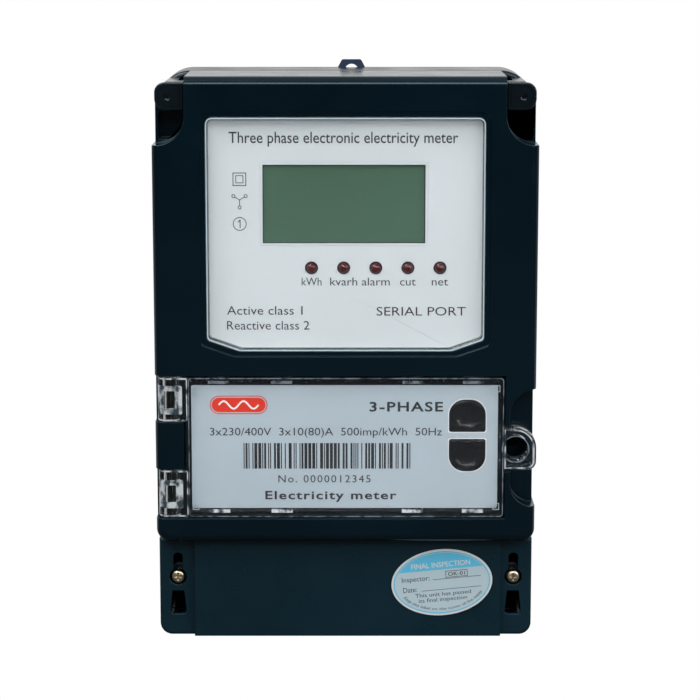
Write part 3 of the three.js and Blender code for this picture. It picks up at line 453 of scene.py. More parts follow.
def solid(name, rings, faces_from):
    """A closed solid from rings of equal length; rings are lists of (x, y, z)."""
    mesh = bpy.data.meshes.new(name)
    count = len(rings[0])
    vertices = [vertex for ring in rings for vertex in ring]
    faces = []
    for level in range(len(rings) - 1):
        low, high = level * count, (level + 1) * count
        for i in range(count):
            j = (i + 1) % count
            faces.append((low + i, low + j, high + j, high + i))
    if faces_from == "caps":
        faces.append(tuple(range(count))[::-1])
        faces.append(tuple((len(rings) - 1) * count + i for i in range(count)))
    else:
        last = (len(rings) - 1) * count
        for i in range(count):
            j = (i + 1) % count
            faces.append((last + i, last + j, j, i))
    mesh.from_pydata(vertices, [], faces)
    shape = bmesh.new()
    shape.from_mesh(mesh)
    bmesh.ops.recalc_face_normals(shape, faces=shape.faces)
    shape.to_mesh(mesh)
    shape.free()
    return placed(name, mesh)


def prism(points, front, back, rounding=0.0, steps=5, back_rounding=0.0):
    """An outline in X and Z between two depths, with its front and back edges rounded if asked."""
    points = anticlockwise(points)
    rings = []

    def ring(inset, y):
        rings.append([(p.x, y, p.y) for p in (shrunk(points, inset) if inset else points)])

    if rounding:
        for step in range(steps + 1):
            angle = math.pi / 2 * step / steps
            ring(rounding * (1 - math.sin(angle)), front + rounding * (1 - math.cos(angle)))
    else:
        ring(0, front)
    if back_rounding:
        for step in range(steps + 1):
            angle = math.pi / 2 * step / steps
            ring(back_rounding * (1 - math.cos(angle)), back - back_rounding * (1 - math.sin(angle)))
    else:
        ring(0, back)
    return solid("prism", rings, "caps")


def block(x0, x1, y0, y1, z0, z1):
    return prism(rectangle(x0, x1, z0, z1), y0, y1)


def rod(radius, x, z, front, back, sides=48):
    return prism(circle(x, z, radius, sides), front, back)


def post(radius, x, y, bottom, top, sides=48):
    """A round rod along Z."""
    ring = circle(x, y, radius, sides)
    return solid("post", [[(p.x, p.y, z) for p in ring] for z in (bottom, top)], "caps")


def turned(profile, x, z, sides=48):
    """(radius, y) points turned about an axis along Y; the profile closes on itself or starts and ends on the axis."""
    closed = profile[0][0] > 0
    inner = [point for point in profile if point[0] > 0]
    turn = 2 * math.pi / sides
    rings = [[(x + r * math.cos(i * turn), y, z + r * math.sin(i * turn)) for i in range(sides)] for r, y in inner]
    return solid("turned", rings, "loop" if closed else "caps")


def combine(body, tools, operation):
    for tool in tools:
        step = body.modifiers.new("step", "BOOLEAN")
        step.object = tool
        step.operation = operation
        step.solver = "MANIFOLD"
    graph = bpy.context.evaluated_depsgraph_get()
    mesh = bpy.data.meshes.new_from_object(body.evaluated_get(graph))
    body.modifiers.clear()
    old = body.data
    body.data = mesh
    bpy.data.meshes.remove(old)
    for tool in set(tools):
        bpy.data.meshes.remove(tool.data)
    return body


def join(body, *tools):
    return combine(body, tools, "UNION")


def cut(body, *tools):
    return combine(body, tools, "DIFFERENCE")


def common(body, *tools):
    return combine(body, tools, "INTERSECT")


def copy_of(piece):
    return placed(piece.name, piece.data.copy())


def keep_inside(mesh, node):
    """Draws back what the softened edges push past the CAD node's box."""
    low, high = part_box(node)
    for vertex in mesh.vertices:
        vertex.co = [min(max(value, least), most) for value, least, most in zip(vertex.co, low, high)]


def made(piece, name, slot_material, body, replaces=(), edge=0.3, segments=2, smooth=35.0, clean=True):
    """Finishes a piece: cleans and softens its edges, scales it to metres, and gives it a body and a material."""
    piece.name = name
    piece.data.name = name
    shape = bmesh.new()
    shape.from_mesh(piece.data)
    if clean:
        bmesh.ops.remove_doubles(shape, verts=shape.verts, dist=0.002)
        bmesh.ops.dissolve_limit(shape, angle_limit=math.radians(0.4), verts=shape.verts, edges=shape.edges)
    for vertex in shape.verts:
        vertex.co *= MM
    shape.to_mesh(piece.data)
    shape.free()
    if edge:
        bevel = piece.modifiers.new("soft_edges", "BEVEL")
        bevel.width = edge * MM
        bevel.segments = segments
        bevel.limit_method = "ANGLE"
        bevel.angle_limit = math.radians(smooth)
        bevel.use_clamp_overlap = False
        bevel.miter_outer = "MITER_ARC"
        graph = bpy.context.evaluated_depsgraph_get()
        mesh = bpy.data.meshes.new_from_object(piece.evaluated_get(graph))
        piece.modifiers.clear()
        piece.data = mesh
    if replaces:
        keep_inside(piece.data, replaces[0])
    piece.data.polygons.foreach_set("use_smooth", [True] * len(piece.data.polygons))
    piece.data.set_sharp_from_angle(angle=math.radians(smooth))
    weighted = piece.modifiers.new("even_shading", "WEIGHTED_NORMAL")
    weighted.keep_sharp = True
    piece.data.materials.clear()
    piece.data.materials.append(material(slot_material))
    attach(piece, body)
    if replaces:
        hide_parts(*replaces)
    return piece


# ------------------------------------------------------------------ outlines shared by several pieces

def window_outline(grow, steps=8):
    right = WINDOW_SIDE + grow
    bottom = WINDOW_BOTTOM - grow
    top = WINDOW_TOP + grow
    radius = 3 + grow
    return outline([(-right + 14.3, bottom, 2), (right - 14.3, bottom, 2), (right, bottom + 5, 2),
                    (right, top, radius), (-right, top, radius), (-right, bottom + 5, 2)], steps)


def button_outline(z, up, grow, steps=10):
    round_radius = 6.6 + grow
    radii = (1, 1, round_radius, round_radius) if up > 0 else (round_radius, round_radius, 1, 1)
    width, height = 7.85 + grow, 7.05 + grow
    return rectangle(BUTTON_X - width, BUTTON_X + width, z - height, z + height, radii, steps)


def mirrored(corners, hand, steps=8):
    return outline([(hand * x, z, radius) for x, z, radius in corners], steps)


def cap_outline(hand, grow):
    outer = SIDE - SIDE_STEP + grow
    inner = SIDE - SIDE_STEP - CAP_WIDTH - grow
    top = CASE_TOP - CAP_TOP_INSET + grow
    bottom = top - CAP_HEIGHT - 2 * grow
    return mirrored([(inner, bottom, 1), (outer, bottom, CAP_HEIGHT * 0.42), (outer, top, CAP_HEIGHT * 0.36),
                     (inner, top, 1)], hand, 10)


def notch_outline(hand, grow):
    inner = SIDE - NOTCH_WIDTH - grow
    bottom = CASE_TOP - NOTCH_HEIGHT - grow
    return mirrored([(inner, bottom, NOTCH_RADIUS), (SIDE + 10, bottom, 0), (SIDE + 10, CASE_TOP + 10, 0),
                     (inner, CASE_TOP + 10, 0)], hand, 24)


def scoop_outline(grow):
    left = SIDE - 11.7 - grow
    top = DOOR_TOP - 5.6 + grow
    return rectangle(left, SIDE + 10, top - 53.3 - 2 * grow, top, (11.2, 0, 0, 11.2), 24)


# ------------------------------------------------------------------ case

def case_outline(bottom, inset, steps):
    radii = [radius - inset for radius in (BOTTOM_RADIUS, BOTTOM_RADIUS, TOP_RADIUS, TOP_RADIUS)]
    return rectangle(-SIDE + inset, SIDE - inset, bottom + inset, CASE_TOP - inset, radii, steps)


def front_cover():
    body = prism(case_outline(COVER_BOTTOM, 0, 16), FACE, COVER_BACK, 4, 8)
    hollow = prism(case_outline(COVER_BOTTOM, WALL, 12), FACE + WALL, 0)
    shell = cut(copy_of(body), hollow)

    bay_top, bay_bottom = DOOR_TOP + SWING, DOOR_BOTTOM - SWING
    bay_right = DOOR_RIGHT + SWING
    liners = [
        block(-SIDE, bay_right + WALL, FACE, BAY_BACK, bay_bottom - WALL, bay_top + WALL),
        prism(scoop_outline(WALL), FACE, SCOOP_FLOOR + WALL),
        rod(7, LATCH_X, LATCH_Z, FACE, COVER_BACK),
    ]
    for hand in (-1, 1):
        liners.append(prism(notch_outline(hand, WALL), FACE, NOTCH_FLOOR + 10 + WALL))
        liners.append(rod(5, hand * CASE_SCREW_X, CASE_SCREW_Z, FACE, COVER_BACK))
    shell = join(shell, *[common(liner, copy_of(body)) for liner in liners])

    deep = HINGE_Y + KNUCKLE + SWING
    bay = join(block(-SIDE - 1, bay_right, FACE - 1, BAY_FLOOR, bay_bottom, bay_top),
               block(-SIDE - 1, BAY_LEFT, FACE - 1, deep, bay_bottom, bay_top))
    plateau = block(BAY_LEFT + 1.2, DOOR_RIGHT - 2.1, PLATEAU, BAY_FLOOR + 1, DOOR_BOTTOM + 3.4, DOOR_TOP - 3.4)
    hinge_post = block(-SIDE - 2, BAY_LEFT - 0.4, FACE - 2, deep + 1,
                       DOOR_BOTTOM + LOWER_KNUCKLE + 0.2, DOOR_TOP - UPPER_KNUCKLE - 0.2)
    ear = EAR + SWING
    tools = [
        prism(window_outline(GAP), FACE - 1, 0),
        prism(window_outline(2.5), FACE - 1, FACE + 0.6),
        cut(bay, plateau, hinge_post),
        post(1.8, HINGE_X, HINGE_Y, bay_bottom - 5.3, bay_top + 5.3),
        prism(scoop_outline(0), FACE - 1, SCOOP_FLOOR),
        cut(prism(scoop_outline(0), FACE - 1, 0),
            block(-SIDE, SIDE - SIDE_STEP, FACE - 2, 1, -CASE_TOP, CASE_TOP)),
        block(DOOR_RIGHT - 1, SIDE + 1, FACE - 1, SCOOP_FLOOR, LATCH_Z - ear, LATCH_Z + ear),
        rod(5.5, LATCH_X, LATCH_Z, FACE, SCOOP_FLOOR + 16),
        rod(1.9, LATCH_X, LATCH_Z, FACE, 0),
    ]
    for z, up in BUTTONS.values():
        tools.append(prism(button_outline(z, up, 0.35), FACE - 1, BAY_BACK + 1))
    for hand in (-1, 1):
        pocket_inner = SIDE - NOTCH_WIDTH + 1
        pocket_top = CASE_TOP - CAP_TOP_INSET - CAP_HEIGHT - 0.8
        pocket_bottom = CASE_TOP - NOTCH_HEIGHT + 1.5
        flank = block(-SIDE + SIDE_STEP, SIDE - SIDE_STEP, FACE - 2, 1, CASE_BOTTOM, CASE_TOP - CAP_TOP_INSET)
        outer = SIDE - SIDE_STEP - 1.4
        tools += [
            prism(notch_outline(hand, 0), FACE - 1, NOTCH_FLOOR),
            cut(prism(notch_outline(hand, 0), FACE - 1, 0), flank),
            prism(mirrored([(pocket_inner, pocket_bottom, NOTCH_RADIUS - 4), (outer, pocket_bottom, 1),
                            (outer, pocket_top, 1), (pocket_inner, pocket_top, 1)], hand, 10),
                  FACE, NOTCH_FLOOR + 10),
        ]
    shell = cut(shell, *tools)
    pads = [prism(cap_outline(hand, -0.2), CAP_SEAT + GAP, NOTCH_FLOOR + 0.7) for hand in (-1, 1)]
    shell = join(shell, *pads)
    bores = []
    for hand in (-1, 1):
        bores.append(rod(3.3, hand * CASE_SCREW_X, CASE_SCREW_Z, FACE, CAP_SEAT + 8))
        bores.append(rod(1.9, hand * CASE_SCREW_X, CASE_SCREW_Z, FACE, 0))
    shell = cut(shell, *bores)
    made(shell, "cover_shell", "cover", "case", ["front_cover"], 0.35, 3)
    bpy.data.objects.remove(body)


def base_shell():
    outer = prism(case_outline(CASE_BOTTOM, 0, 16), BASE_FRONT, 0, 1.8, 5, 1.2)
    hollow = prism(case_outline(CASE_BOTTOM, WALL, 12), BASE_FRONT - 1, -WALL)
    shell = cut(outer, hollow)
    bosses = [rod(7, LATCH_X, LATCH_Z, BASE_FRONT, -WALL + 1)]
    holes = [rod(1.9, LATCH_X, LATCH_Z, FACE, -10)]
    for hand in (-1, 1):
        bosses.append(rod(5, hand * CASE_SCREW_X, CASE_SCREW_Z, BASE_FRONT, -WALL + 1))
        bosses.append(rod(5, hand * KEYHOLE_X, KEYHOLE_Z, SIDE_ZONE + 6.2, -WALL + 1))
        holes.append(rod(1.9, hand * CASE_SCREW_X, CASE_SCREW_Z, FACE, -10))
        holes.append(rod(1.9, hand * KEYHOLE_X, KEYHOLE_Z, FACE, -10))
        holes.append(rod(3.1, hand * (SIDE - 15), CASE_BOTTOM + 12, -WALL - 5, 1))
    holes += [post(5.6, x, -19, CASE_BOTTOM - 1, CASE_BOTTOM + WALL + 1) for x in WIRE_XS]
    bounds = prism(case_outline(CASE_BOTTOM, 0.6, 16), FACE, -0.5)
    bosses = [common(boss, copy_of(bounds)) for boss in bosses]
    bpy.data.objects.remove(bounds)

    hanger_x = (HANGER[0] + HANGER[1]) / 2
    foot = (HANGER[1] - HANGER[0]) / 2 + GAP
    bottom = HANGER[4] - GAP
    front = HANGER[2] - GAP
    pad = block(hanger_x - foot - WALL, hanger_x + foot + WALL, front - WALL, -1, bottom - WALL, CASE_TOP - WALL / 2)
    guides = [
        block(hanger_x - foot, hanger_x + foot, front, -1.1, bottom, bottom + 27.2),
        block(hanger_x - 6.6, hanger_x + 6.6, front, -1.1, bottom, CASE_TOP + 1),
        block(hanger_x - 4, hanger_x + 4, front, 1, bottom, CASE_TOP + 1),
    ]
    shell = join(shell, *bosses, pad)
    shell = cut(shell, *guides, *holes)
    made(shell, "wall_shell", "base", "case", ["base_shell"], 0.3, 2)


def corner_caps():
    for hand, side_name in ((-1, "left"), (1, "right")):
        cap = prism(cap_outline(hand, 0), CAP_FACE, CAP_SEAT, 0.6, 4)
        groove = cut(prism(cap_outline(hand, -1.3), CAP_FACE - 1, CAP_FACE + 0.3),
                     prism(cap_outline(hand, -1.75), CAP_FACE - 2, CAP_FACE + 1))
        cap = cut(cap, groove, rod(0.6, hand * CASE_SCREW_X, CASE_SCREW_Z, FACE, CAP_FACE + 1.5, 20))
        dimple = turned([(0, CAP_FACE - 1), (1.7, CAP_FACE - 1), (1.5, CAP_FACE + 0.35), (0.9, CAP_FACE + 0.75),
                         (0, CAP_FACE + 0.9)], hand * CASE_SCREW_X, CASE_SCREW_Z, 32)
        cap = cut(cap, dimple)
        made(cap, f"{side_name}_cap", "cap", "case", [f"{side_name}_corner_cap"], 0)


def terminal_cover():
    right = TERMINAL[1]
    top = TERMINAL[5]
    shape = rectangle(-right, right, CASE_BOTTOM, top, (5.5, 5.5, 0, 0), 14)
    body = prism(shape, SIDE_ZONE, COVER_BACK, 1.6, 5)
    panel = prism(rectangle(-SIDE + 16.2, SIDE - 14.5, CASE_BOTTOM, top), TERMINAL_FACE, SIDE_ZONE + 2.6, 0.8, 4)
    hollow = prism(rectangle(-right + 2.2, right - 2.2, CASE_BOTTOM + 2.2, top + 1, (3.3, 3.3, 0, 0), 10),
                   SIDE_ZONE + 2.2, 0)
    tools = [hollow]
    for hand in (-1, 1):
        x = hand * KEYHOLE_X
        pocket_top = CASE_BOTTOM + 20.8
        pocket_bottom = pocket_top - 10.9
        tools.append(join(rod(3.9, x, KEYHOLE_Z, FACE, 0),
                          prism(rectangle(x - 2.1, x + 2.1, KEYHOLE_Z, KEYHOLE_Z + 11.1, (0, 0, 2, 2), 8), FACE, 0)))
        tools.append(prism(outline([(x - 2.65, pocket_top, 0.4), (x - 3.8, pocket_bottom, 1.6),
                                    (x + 3.8, pocket_bottom, 1.6), (x + 2.65, pocket_top, 0.4)], 8), FACE, 0))
    cover = cut(join(body, panel), *tools)
    made(cover, "lower_cover", "terminal_cover", "terminal_cover", ["terminal_cover"], 0.3, 3)


def hanger():
    x = (HANGER[0] + HANGER[1]) / 2
    foot = (HANGER[1] - HANGER[0]) / 2
    bottom, top = HANGER[4], HANGER[5]
    plate = outline([(x - foot, bottom, 1), (x + foot, bottom, 1), (x + foot, bottom + 8, 1), (x + 6.3, bottom + 8, 0),
                     (x + 6.3, top - 3.6, 0), (x + 4.4, top, 1.2), (x - 4.4, top, 1.2), (x - 6.3, top - 3.6, 0),
                     (x - 6.3, bottom + 8, 0), (x - foot, bottom + 8, 1)])
    piece = cut(prism(plate, HANGER[2], HANGER[3]), rod(3.1, x, top - 5.2, HANGER[2] - 1, HANGER[3] + 1))
    made(piece, "hanging_tab", "hanger", "hanger", ["hanger"], 0.2, 2)


# ------------------------------------------------------------------ window

def window_lens():
    front, back = LENS[2] + 0.1, LENS[3]
    rim_floor = front + 0.5
    lens = cut(prism(window_outline(0, 12), front, back, 0.35, 4),
               prism(window_outline(-0.9, 12), front - 1, rim_floor, 0),
               prism(window_outline(-1.1, 12), rim_floor + 2.2, back + 1))
    piece = made(lens, "window", "window", "case", ["window_lens"], 0.18, 3)
    piece.visible_shadow = False
    # Painted highlight: a pale frame along the lens's rounded edge, where it catches light.
    raised_frame("window_rim_glint", window_outline(-0.15, 12), window_outline(-0.6, 12), LENS[2], front + 0.3,
                 "paper", "case")


def faceplate():
    x0, x1 = LCD[0] + 2.6, LCD[1] - 2.6
    z0, z1 = LCD[4] + 2.6, LCD[5] - 2.6
    front, back = PLATE[2], PLATE[3]
    tools = [prism(rectangle(x0, x1, z0, z1), front - 1, back + 1)]
    tools += [rod(2.9, x, LAMP_Z, front - 1, back + 1) for x in LAMP_XS]
    plate = cut(prism(window_outline(-0.8), front, back), *tools)
    groove = cut(prism(rectangle(x0 - 1.25, x1 + 1.25, z0 - 1.25, z1 + 1.25), front - 1, front + 0.22),
                 prism(rectangle(x0 - 0.95, x1 + 0.95, z0 - 0.95, z1 + 0.95), front - 2, front + 1))
    plate = cut(plate, groove)
    made(plate, "printed_plate", "faceplate", "case", ["faceplate"], 0.12, 2)


def display():
    screen = block(LCD[0], LCD[1], LCD[2], LCD[3], LCD[4], LCD[5])
    made(screen, "display_screen", "lcd", "case", ["lcd_panel"], 0.2, 2)
    # Painted shade: a dark band round the display's visible edge, the shade inside the faceplate's cut-out.
    edge = Ink(LCD[2] - 0.02)
    edge.frame(LCD[0] + 2.2, LCD[1] - 2.2, LCD[4] + 2.2, LCD[5] - 2.2, 0.9)
    edge.done("display_edge_shade", "lcd_recess_shade", "case", "lcd_glass")


def lamps():
    for i, x in enumerate(LAMP_XS, 1):
        low, high = span(f"led_{i}")[2:4]
        dome = [(2.5 * math.sin(math.radians(a)), low + 2.5 - 2.5 * math.cos(math.radians(a)))
                for a in range(0, 91, 9)]
        piece = turned(dome + [(2.5, high - 10), (2.95, high - 10), (2.95, high), (0, high)], x, LAMP_Z)
        made(piece, f"lamp_{i}", "lamp", "case", [f"led_{i}"], 0, 0, 35, False)


# ------------------------------------------------------------------ printing

CAPITAL = 0.729


class Ink:
    """Flat printing on a plane that faces the front, gathered into one piece."""

    def __init__(self, y, origin=(0.0, 0.0), tilt=0.0):
        self.shape = bmesh.new()
        self.y = y
        self.origin = Vector(origin)
        self.turn = Matrix.Rotation(tilt, 2)

    def place(self, point):
        turned_point = self.turn @ Vector(point) + self.origin
        return (turned_point.x, self.y, turned_point.y)

    def polygon(self, points):
        self.shape.faces.new([self.shape.verts.new(self.place(point)) for point in points])

    def band(self, outer, inner):
        """The area between two outlines of equal count."""
        count = len(outer)
        for i in range(count):
            j = (i + 1) % count
            self.polygon([outer[i], outer[j], inner[j], inner[i]])

    def stroke(self, points, width):
        for start, end in zip(points, points[1:]):
            start, end = Vector(start), Vector(end)
            across = (end - start).normalized().orthogonal() * width / 2
            along = (end - start).normalized() * width / 2
            self.polygon([start - along - across, end + along - across, end + along + across, start - along + across])

    def ribbon(self, points, width):
        """One even band along a smooth line."""
        sides = []
        for i, point in enumerate(points):
            ahead = Vector(points[min(i + 1, len(points) - 1)]) - Vector(points[max(i - 1, 0)])
            across = ahead.normalized().orthogonal() * width / 2
            sides.append((Vector(point) - across, Vector(point) + across))
        for (low, high), (next_low, next_high) in zip(sides, sides[1:]):
            self.polygon([low, next_low, next_high, high])

    def frame(self, x0, x1, z0, z1, width):
        self.band(rectangle(x0, x1, z0, z1), rectangle(x0 + width, x1 - width, z0 + width, z1 - width))

    def ring(self, x, z, radius, width, sides=32):
        self.band(circle(x, z, radius, sides), circle(x, z, radius - width, sides))

    def text(self, words, x0, x1, base, capital, bold=0.0, bend=None, spacing=1.0):
        """Words fitted between x0 and x1, their capitals as tall as stated; bend moves each point."""
        curve = bpy.data.curves.new("words", "FONT")
        curve.body = words
        curve.size = 1.0
        curve.resolution_u = 3
        curve.offset = bold
        curve.space_character = spacing
        holder = placed("words", curve)
        graph = bpy.context.evaluated_depsgraph_get()
        graph.update()
        mesh = bpy.data.meshes.new_from_object(holder.evaluated_get(graph))
        left = min(vertex.co.x for vertex in mesh.vertices)
        right = max(vertex.co.x for vertex in mesh.vertices)
        wide = (x1 - x0) / (right - left)
        tall = capital / CAPITAL
        spots = [Vector((x0 + (vertex.co.x - left) * wide, base + vertex.co.y * tall)) for vertex in mesh.vertices]
        if bend:
            spots = [bend(spot) for spot in spots]
        verts = [self.shape.verts.new(self.place(spot)) for spot in spots]
        for polygon in mesh.polygons:
            self.shape.faces.new([verts[i] for i in polygon.vertices])
        bpy.data.objects.remove(holder)
        bpy.data.curves.remove(curve)
        bpy.data.meshes.remove(mesh)

    def done(self, name, ink, body, slot):
        for face in self.shape.faces:
            face.normal_update()
            if face.normal.y > 0:
                face.normal_flip()
        for vertex in self.shape.verts:
            vertex.co *= MM
        mesh = bpy.data.meshes.new(name)
        self.shape.to_mesh(mesh)
        self.shape.free()
        mesh.materials.append(material(ink))
        piece = placed(name, mesh)
        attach(piece, body)
        return piece


def faceplate_printing():
    ink = Ink(PLATE[2] - 0.03)
    ink.text("Three phase electronic electricity meter", -51.2, 49.4, 98.4, 5.2, 0.006)
    x = -46.6
    ink.frame(x - 3.0, x + 3.0, 79.5, 85.4, 0.38)
    ink.frame(x - 1.75, x + 1.75, 80.7, 84.2, 0.34)
    hub = (x, 73.3)
    for end_x, end_z in ((x - 2.7, 75.0), (x + 2.7, 75.0), (x, 70.0)):
        ink.ring(end_x, end_z, 0.85, 0.34, 20)
        towards = Vector((end_x, end_z)) - Vector(hub)
        ink.stroke([hub, Vector(hub) + towards * (1 - 0.8 / towards.length)], 0.34)
    ink.ring(x, 62.7, 3.05, 0.36, 40)
    ink.ribbon([(x - 0.85, 63.5), (x - 0.2, 64.0), (x + 0.15, 64.5)], 0.4)
    ink.stroke([(x + 0.15, 61.1), (x + 0.15, 64.4)], 0.42)
    for lamp_x, words, half in zip(LAMP_XS, ("kWh", "kvarh", "alarm", "cut", "net"), (4.4, 6.0, 6.2, 3.5, 3.6)):
        ink.text(words, lamp_x - half, lamp_x + half, 35.3, 3.75)
    ink.text("Active class 1", -52.6, -19.0, 22.2, 4.1)
    ink.text("Reactive class 2", -52.6, -16.0, 15.5, 4.1)
    ink.text("SERIAL PORT", 13.8, 53.4, 21.8, 4.1)
    ink.done("plate_printing", "ink", "case", "printed_faceplate")


def bar_code(ink, x0, x1, z0, z1):
    """Bars of seeded random widths, which stand for no number."""
    chance = random.Random(7)
    widths = [chance.choice((0.45, 0.45, 0.45, 0.9, 1.35)) for _ in range(99)]
    unit = (x1 - x0) / sum(widths)
    x = x0
    for i, width in enumerate(widths):
        if i % 2 == 0:
            ink.polygon([(x, z0), (x + width * unit, z0), (x + width * unit, z1), (x, z1)])
        x += width * unit


def nameplate_printing():
    front = LABEL[2] - 0.03
    ink = Ink(front)
    ink.text("3-PHASE", 10.7, 43.5, -21.1, 4.4, 0.022, spacing=1.15)
    ink.text("3x230/400V  3x10(80)A  500imp/kWh  50Hz", -60.6, 43.1, -32.1, 3.7)
    bar_code(ink, -45.6, 29.0, -47.3, -35.6)
    ink.text("No. 0000012345", -30.1, 11.2, -53.6, 3.5, spacing=1.2)
    ink.text("Electricity meter", -36.0, 22.9, -61.3, 3.9, 0.02, spacing=1.15)
    ink.done("label_printing", "ink", "case", "silver_label")

    red = Ink(front)
    x0, x1, z0, z1 = -60.5, -34.8, -22.4, -14.0
    radii = (4.1, 4.1, 4.1, 4.1)
    red.band(rectangle(x0, x1, z0, z1, radii), rectangle(x0 + 0.4, x1 - 0.4, z0 + 0.4, z1 - 0.4, (3.7,) * 4))
    red.polygon(rectangle(x0 + 0.9, x1 - 0.9, z0 + 0.9, z1 - 0.9, (3.2,) * 4))
    red.done("mark_field", "ink_red", "case", "silver_label")
    wave = Ink(front - 0.02)
    middle = (z0 + z1) / 2
    steps = 48
    points = [(x0 + 4 + (x1 - x0 - 8) * i / steps, middle + 1.7 * math.sin(4 * math.pi * i / steps))
              for i in range(steps + 1)]
    wave.ribbon(points, 0.8)
    wave.done("mark_wave", "ink_white", "case", "silver_label")

    # Painted highlight: a white band along each button hole's edge, where the label's cut edge catches light.
    rim_glints = Ink(front - 0.01)
    for z, up in BUTTONS.values():
        rim_glints.band(button_outline(z, up, 0.75), button_outline(z, up, 0.36))
    rim_glints.done("button_rim_glints", "ink_white", "case", "silver_label")


# ------------------------------------------------------------------ nameplate, door and buttons

def nameplate():
    plate = prism(rectangle(LABEL[0], LABEL[1], LABEL[4], LABEL[5], (1, 1, 1, 1)), LABEL[2], LABEL[3])
    plate = cut(plate, *[prism(button_outline(z, up, 0.35), FACE, PLATEAU) for z, up in BUTTONS.values()])
    made(plate, "label_plate", "label", "case", ["nameplate"], 0.08, 2)


def buttons():
    for name, (z, up) in BUTTONS.items():
        low, high = span(name)[2:4]
        flange_front = BAY_BACK + GAP
        dimple = turned([(0, low - 2), (6.3, low - 2), (5.5, low)]
                        + [(5.5 * math.cos(math.radians(a)), low + 1.5 * math.sin(math.radians(a)))
                           for a in range(10, 90, 8)] + [(0, low + 1.5)], BUTTON_X, z, 64)
        key = cut(prism(button_outline(z, up, 0, 14), low, flange_front + 0.5, 0.8, 5), dimple)
        flange = block(BUTTON_X - 9.05, BUTTON_X + 9.05, flange_front, flange_front + 1.4, z - 8.25, z + 8.25)
        stem = rod(2, BUTTON_X, z, flange_front + 1, high)
        made(join(key, flange, stem), f"{name}_key", "button", name, [name], 0.15, 2)


def door():
    sheet = prism(rectangle(HINGE_X, DOOR_RIGHT, DOOR_BOTTOM, DOOR_TOP, (1.2, 2.2, 2.2, 1.2)),
                  FACE, DOOR_RIM_BACK, 0.7, 4)
    hollow = block(BAY_LEFT + 0.2, DOOR_RIGHT - DOOR_RIM, DOOR_PLATE_BACK, DOOR_RIM_BACK + 1,
                   DOOR_BOTTOM + DOOR_RIM, DOOR_TOP - DOOR_RIM)
    behind = block(HINGE_X - 1, BAY_LEFT + 1.2, DOOR_PLATE_BACK, DOOR_RIM_BACK + 1, DOOR_BOTTOM - 1, DOOR_TOP + 1)
    post_gap = block(-SIDE - 1, BAY_LEFT + 0.4, FACE - 1, 0, DOOR_BOTTOM + LOWER_KNUCKLE, DOOR_TOP - UPPER_KNUCKLE)
    sheet = cut(sheet, hollow, behind, post_gap)
    additions, openings = [], []
    for bottom, top in KNUCKLES.values():
        middle = (bottom + top) / 2
        additions.append(post(KNUCKLE, HINGE_X, HINGE_Y, bottom, top, 64))
        openings.append(block(KNUCKLE_LEFT, KNUCKLE_RIGHT, FACE - 1, FACE + 3, middle - 4.5, middle + 4.5))
    ear = prism(rectangle(DOOR_RIGHT - 1, DOOR[1], LATCH_Z - EAR, LATCH_Z + EAR, (0, 4, 9, 0), 14),
                FACE, DOOR_RIM_BACK, 0.9, 5)
    additions.append(ear)
    panel = join(sheet, *additions)
    panel = cut(panel, rod(LATCH_HOLE, LATCH_X, LATCH_Z, FACE - 1, 0, 64), *openings,
                post(1.8, HINGE_X, HINGE_Y, DOOR_BOTTOM - 1, DOOR_TOP + 1))
    piece = made(panel, "flip_door", "door", "clear_door", ["nameplate_door"], 0.2, 3)
    piece.visible_shadow = False


def raised_frame(name, outer, inner, front, back, look="edge_glint", body="clear_door"):
    """A thin opaque frame on a clear piece: a painted highlight where light catches its edges."""
    ring = cut(prism(outer, front, back), prism(inner, front - 1, back + 1))
    made(ring, name, look, body, (), 0)


def knuckle_frame(name, outer, inner, bottom, top):
    """A thin painted-highlight frame that follows a knuckle's round front, so that it clears the cover as the door
    swings.
    """
    depth = HINGE_Y - 1
    skin = cut(post(KNUCKLE + 0.15, HINGE_X, HINGE_Y, bottom, top, 64),
               post(KNUCKLE - 0.3, HINGE_X, HINGE_Y, bottom - 1, top + 1, 64))
    flat = block(HINGE_X, BAY_LEFT + 2, FACE - 0.15, FACE + 0.3, bottom, top)
    window = cut(prism(outer, FACE - 1, depth), prism(inner, FACE - 2, depth + 1))
    made(common(window, join(skin, flat)), name, "edge_glint", "clear_door", (), 0)


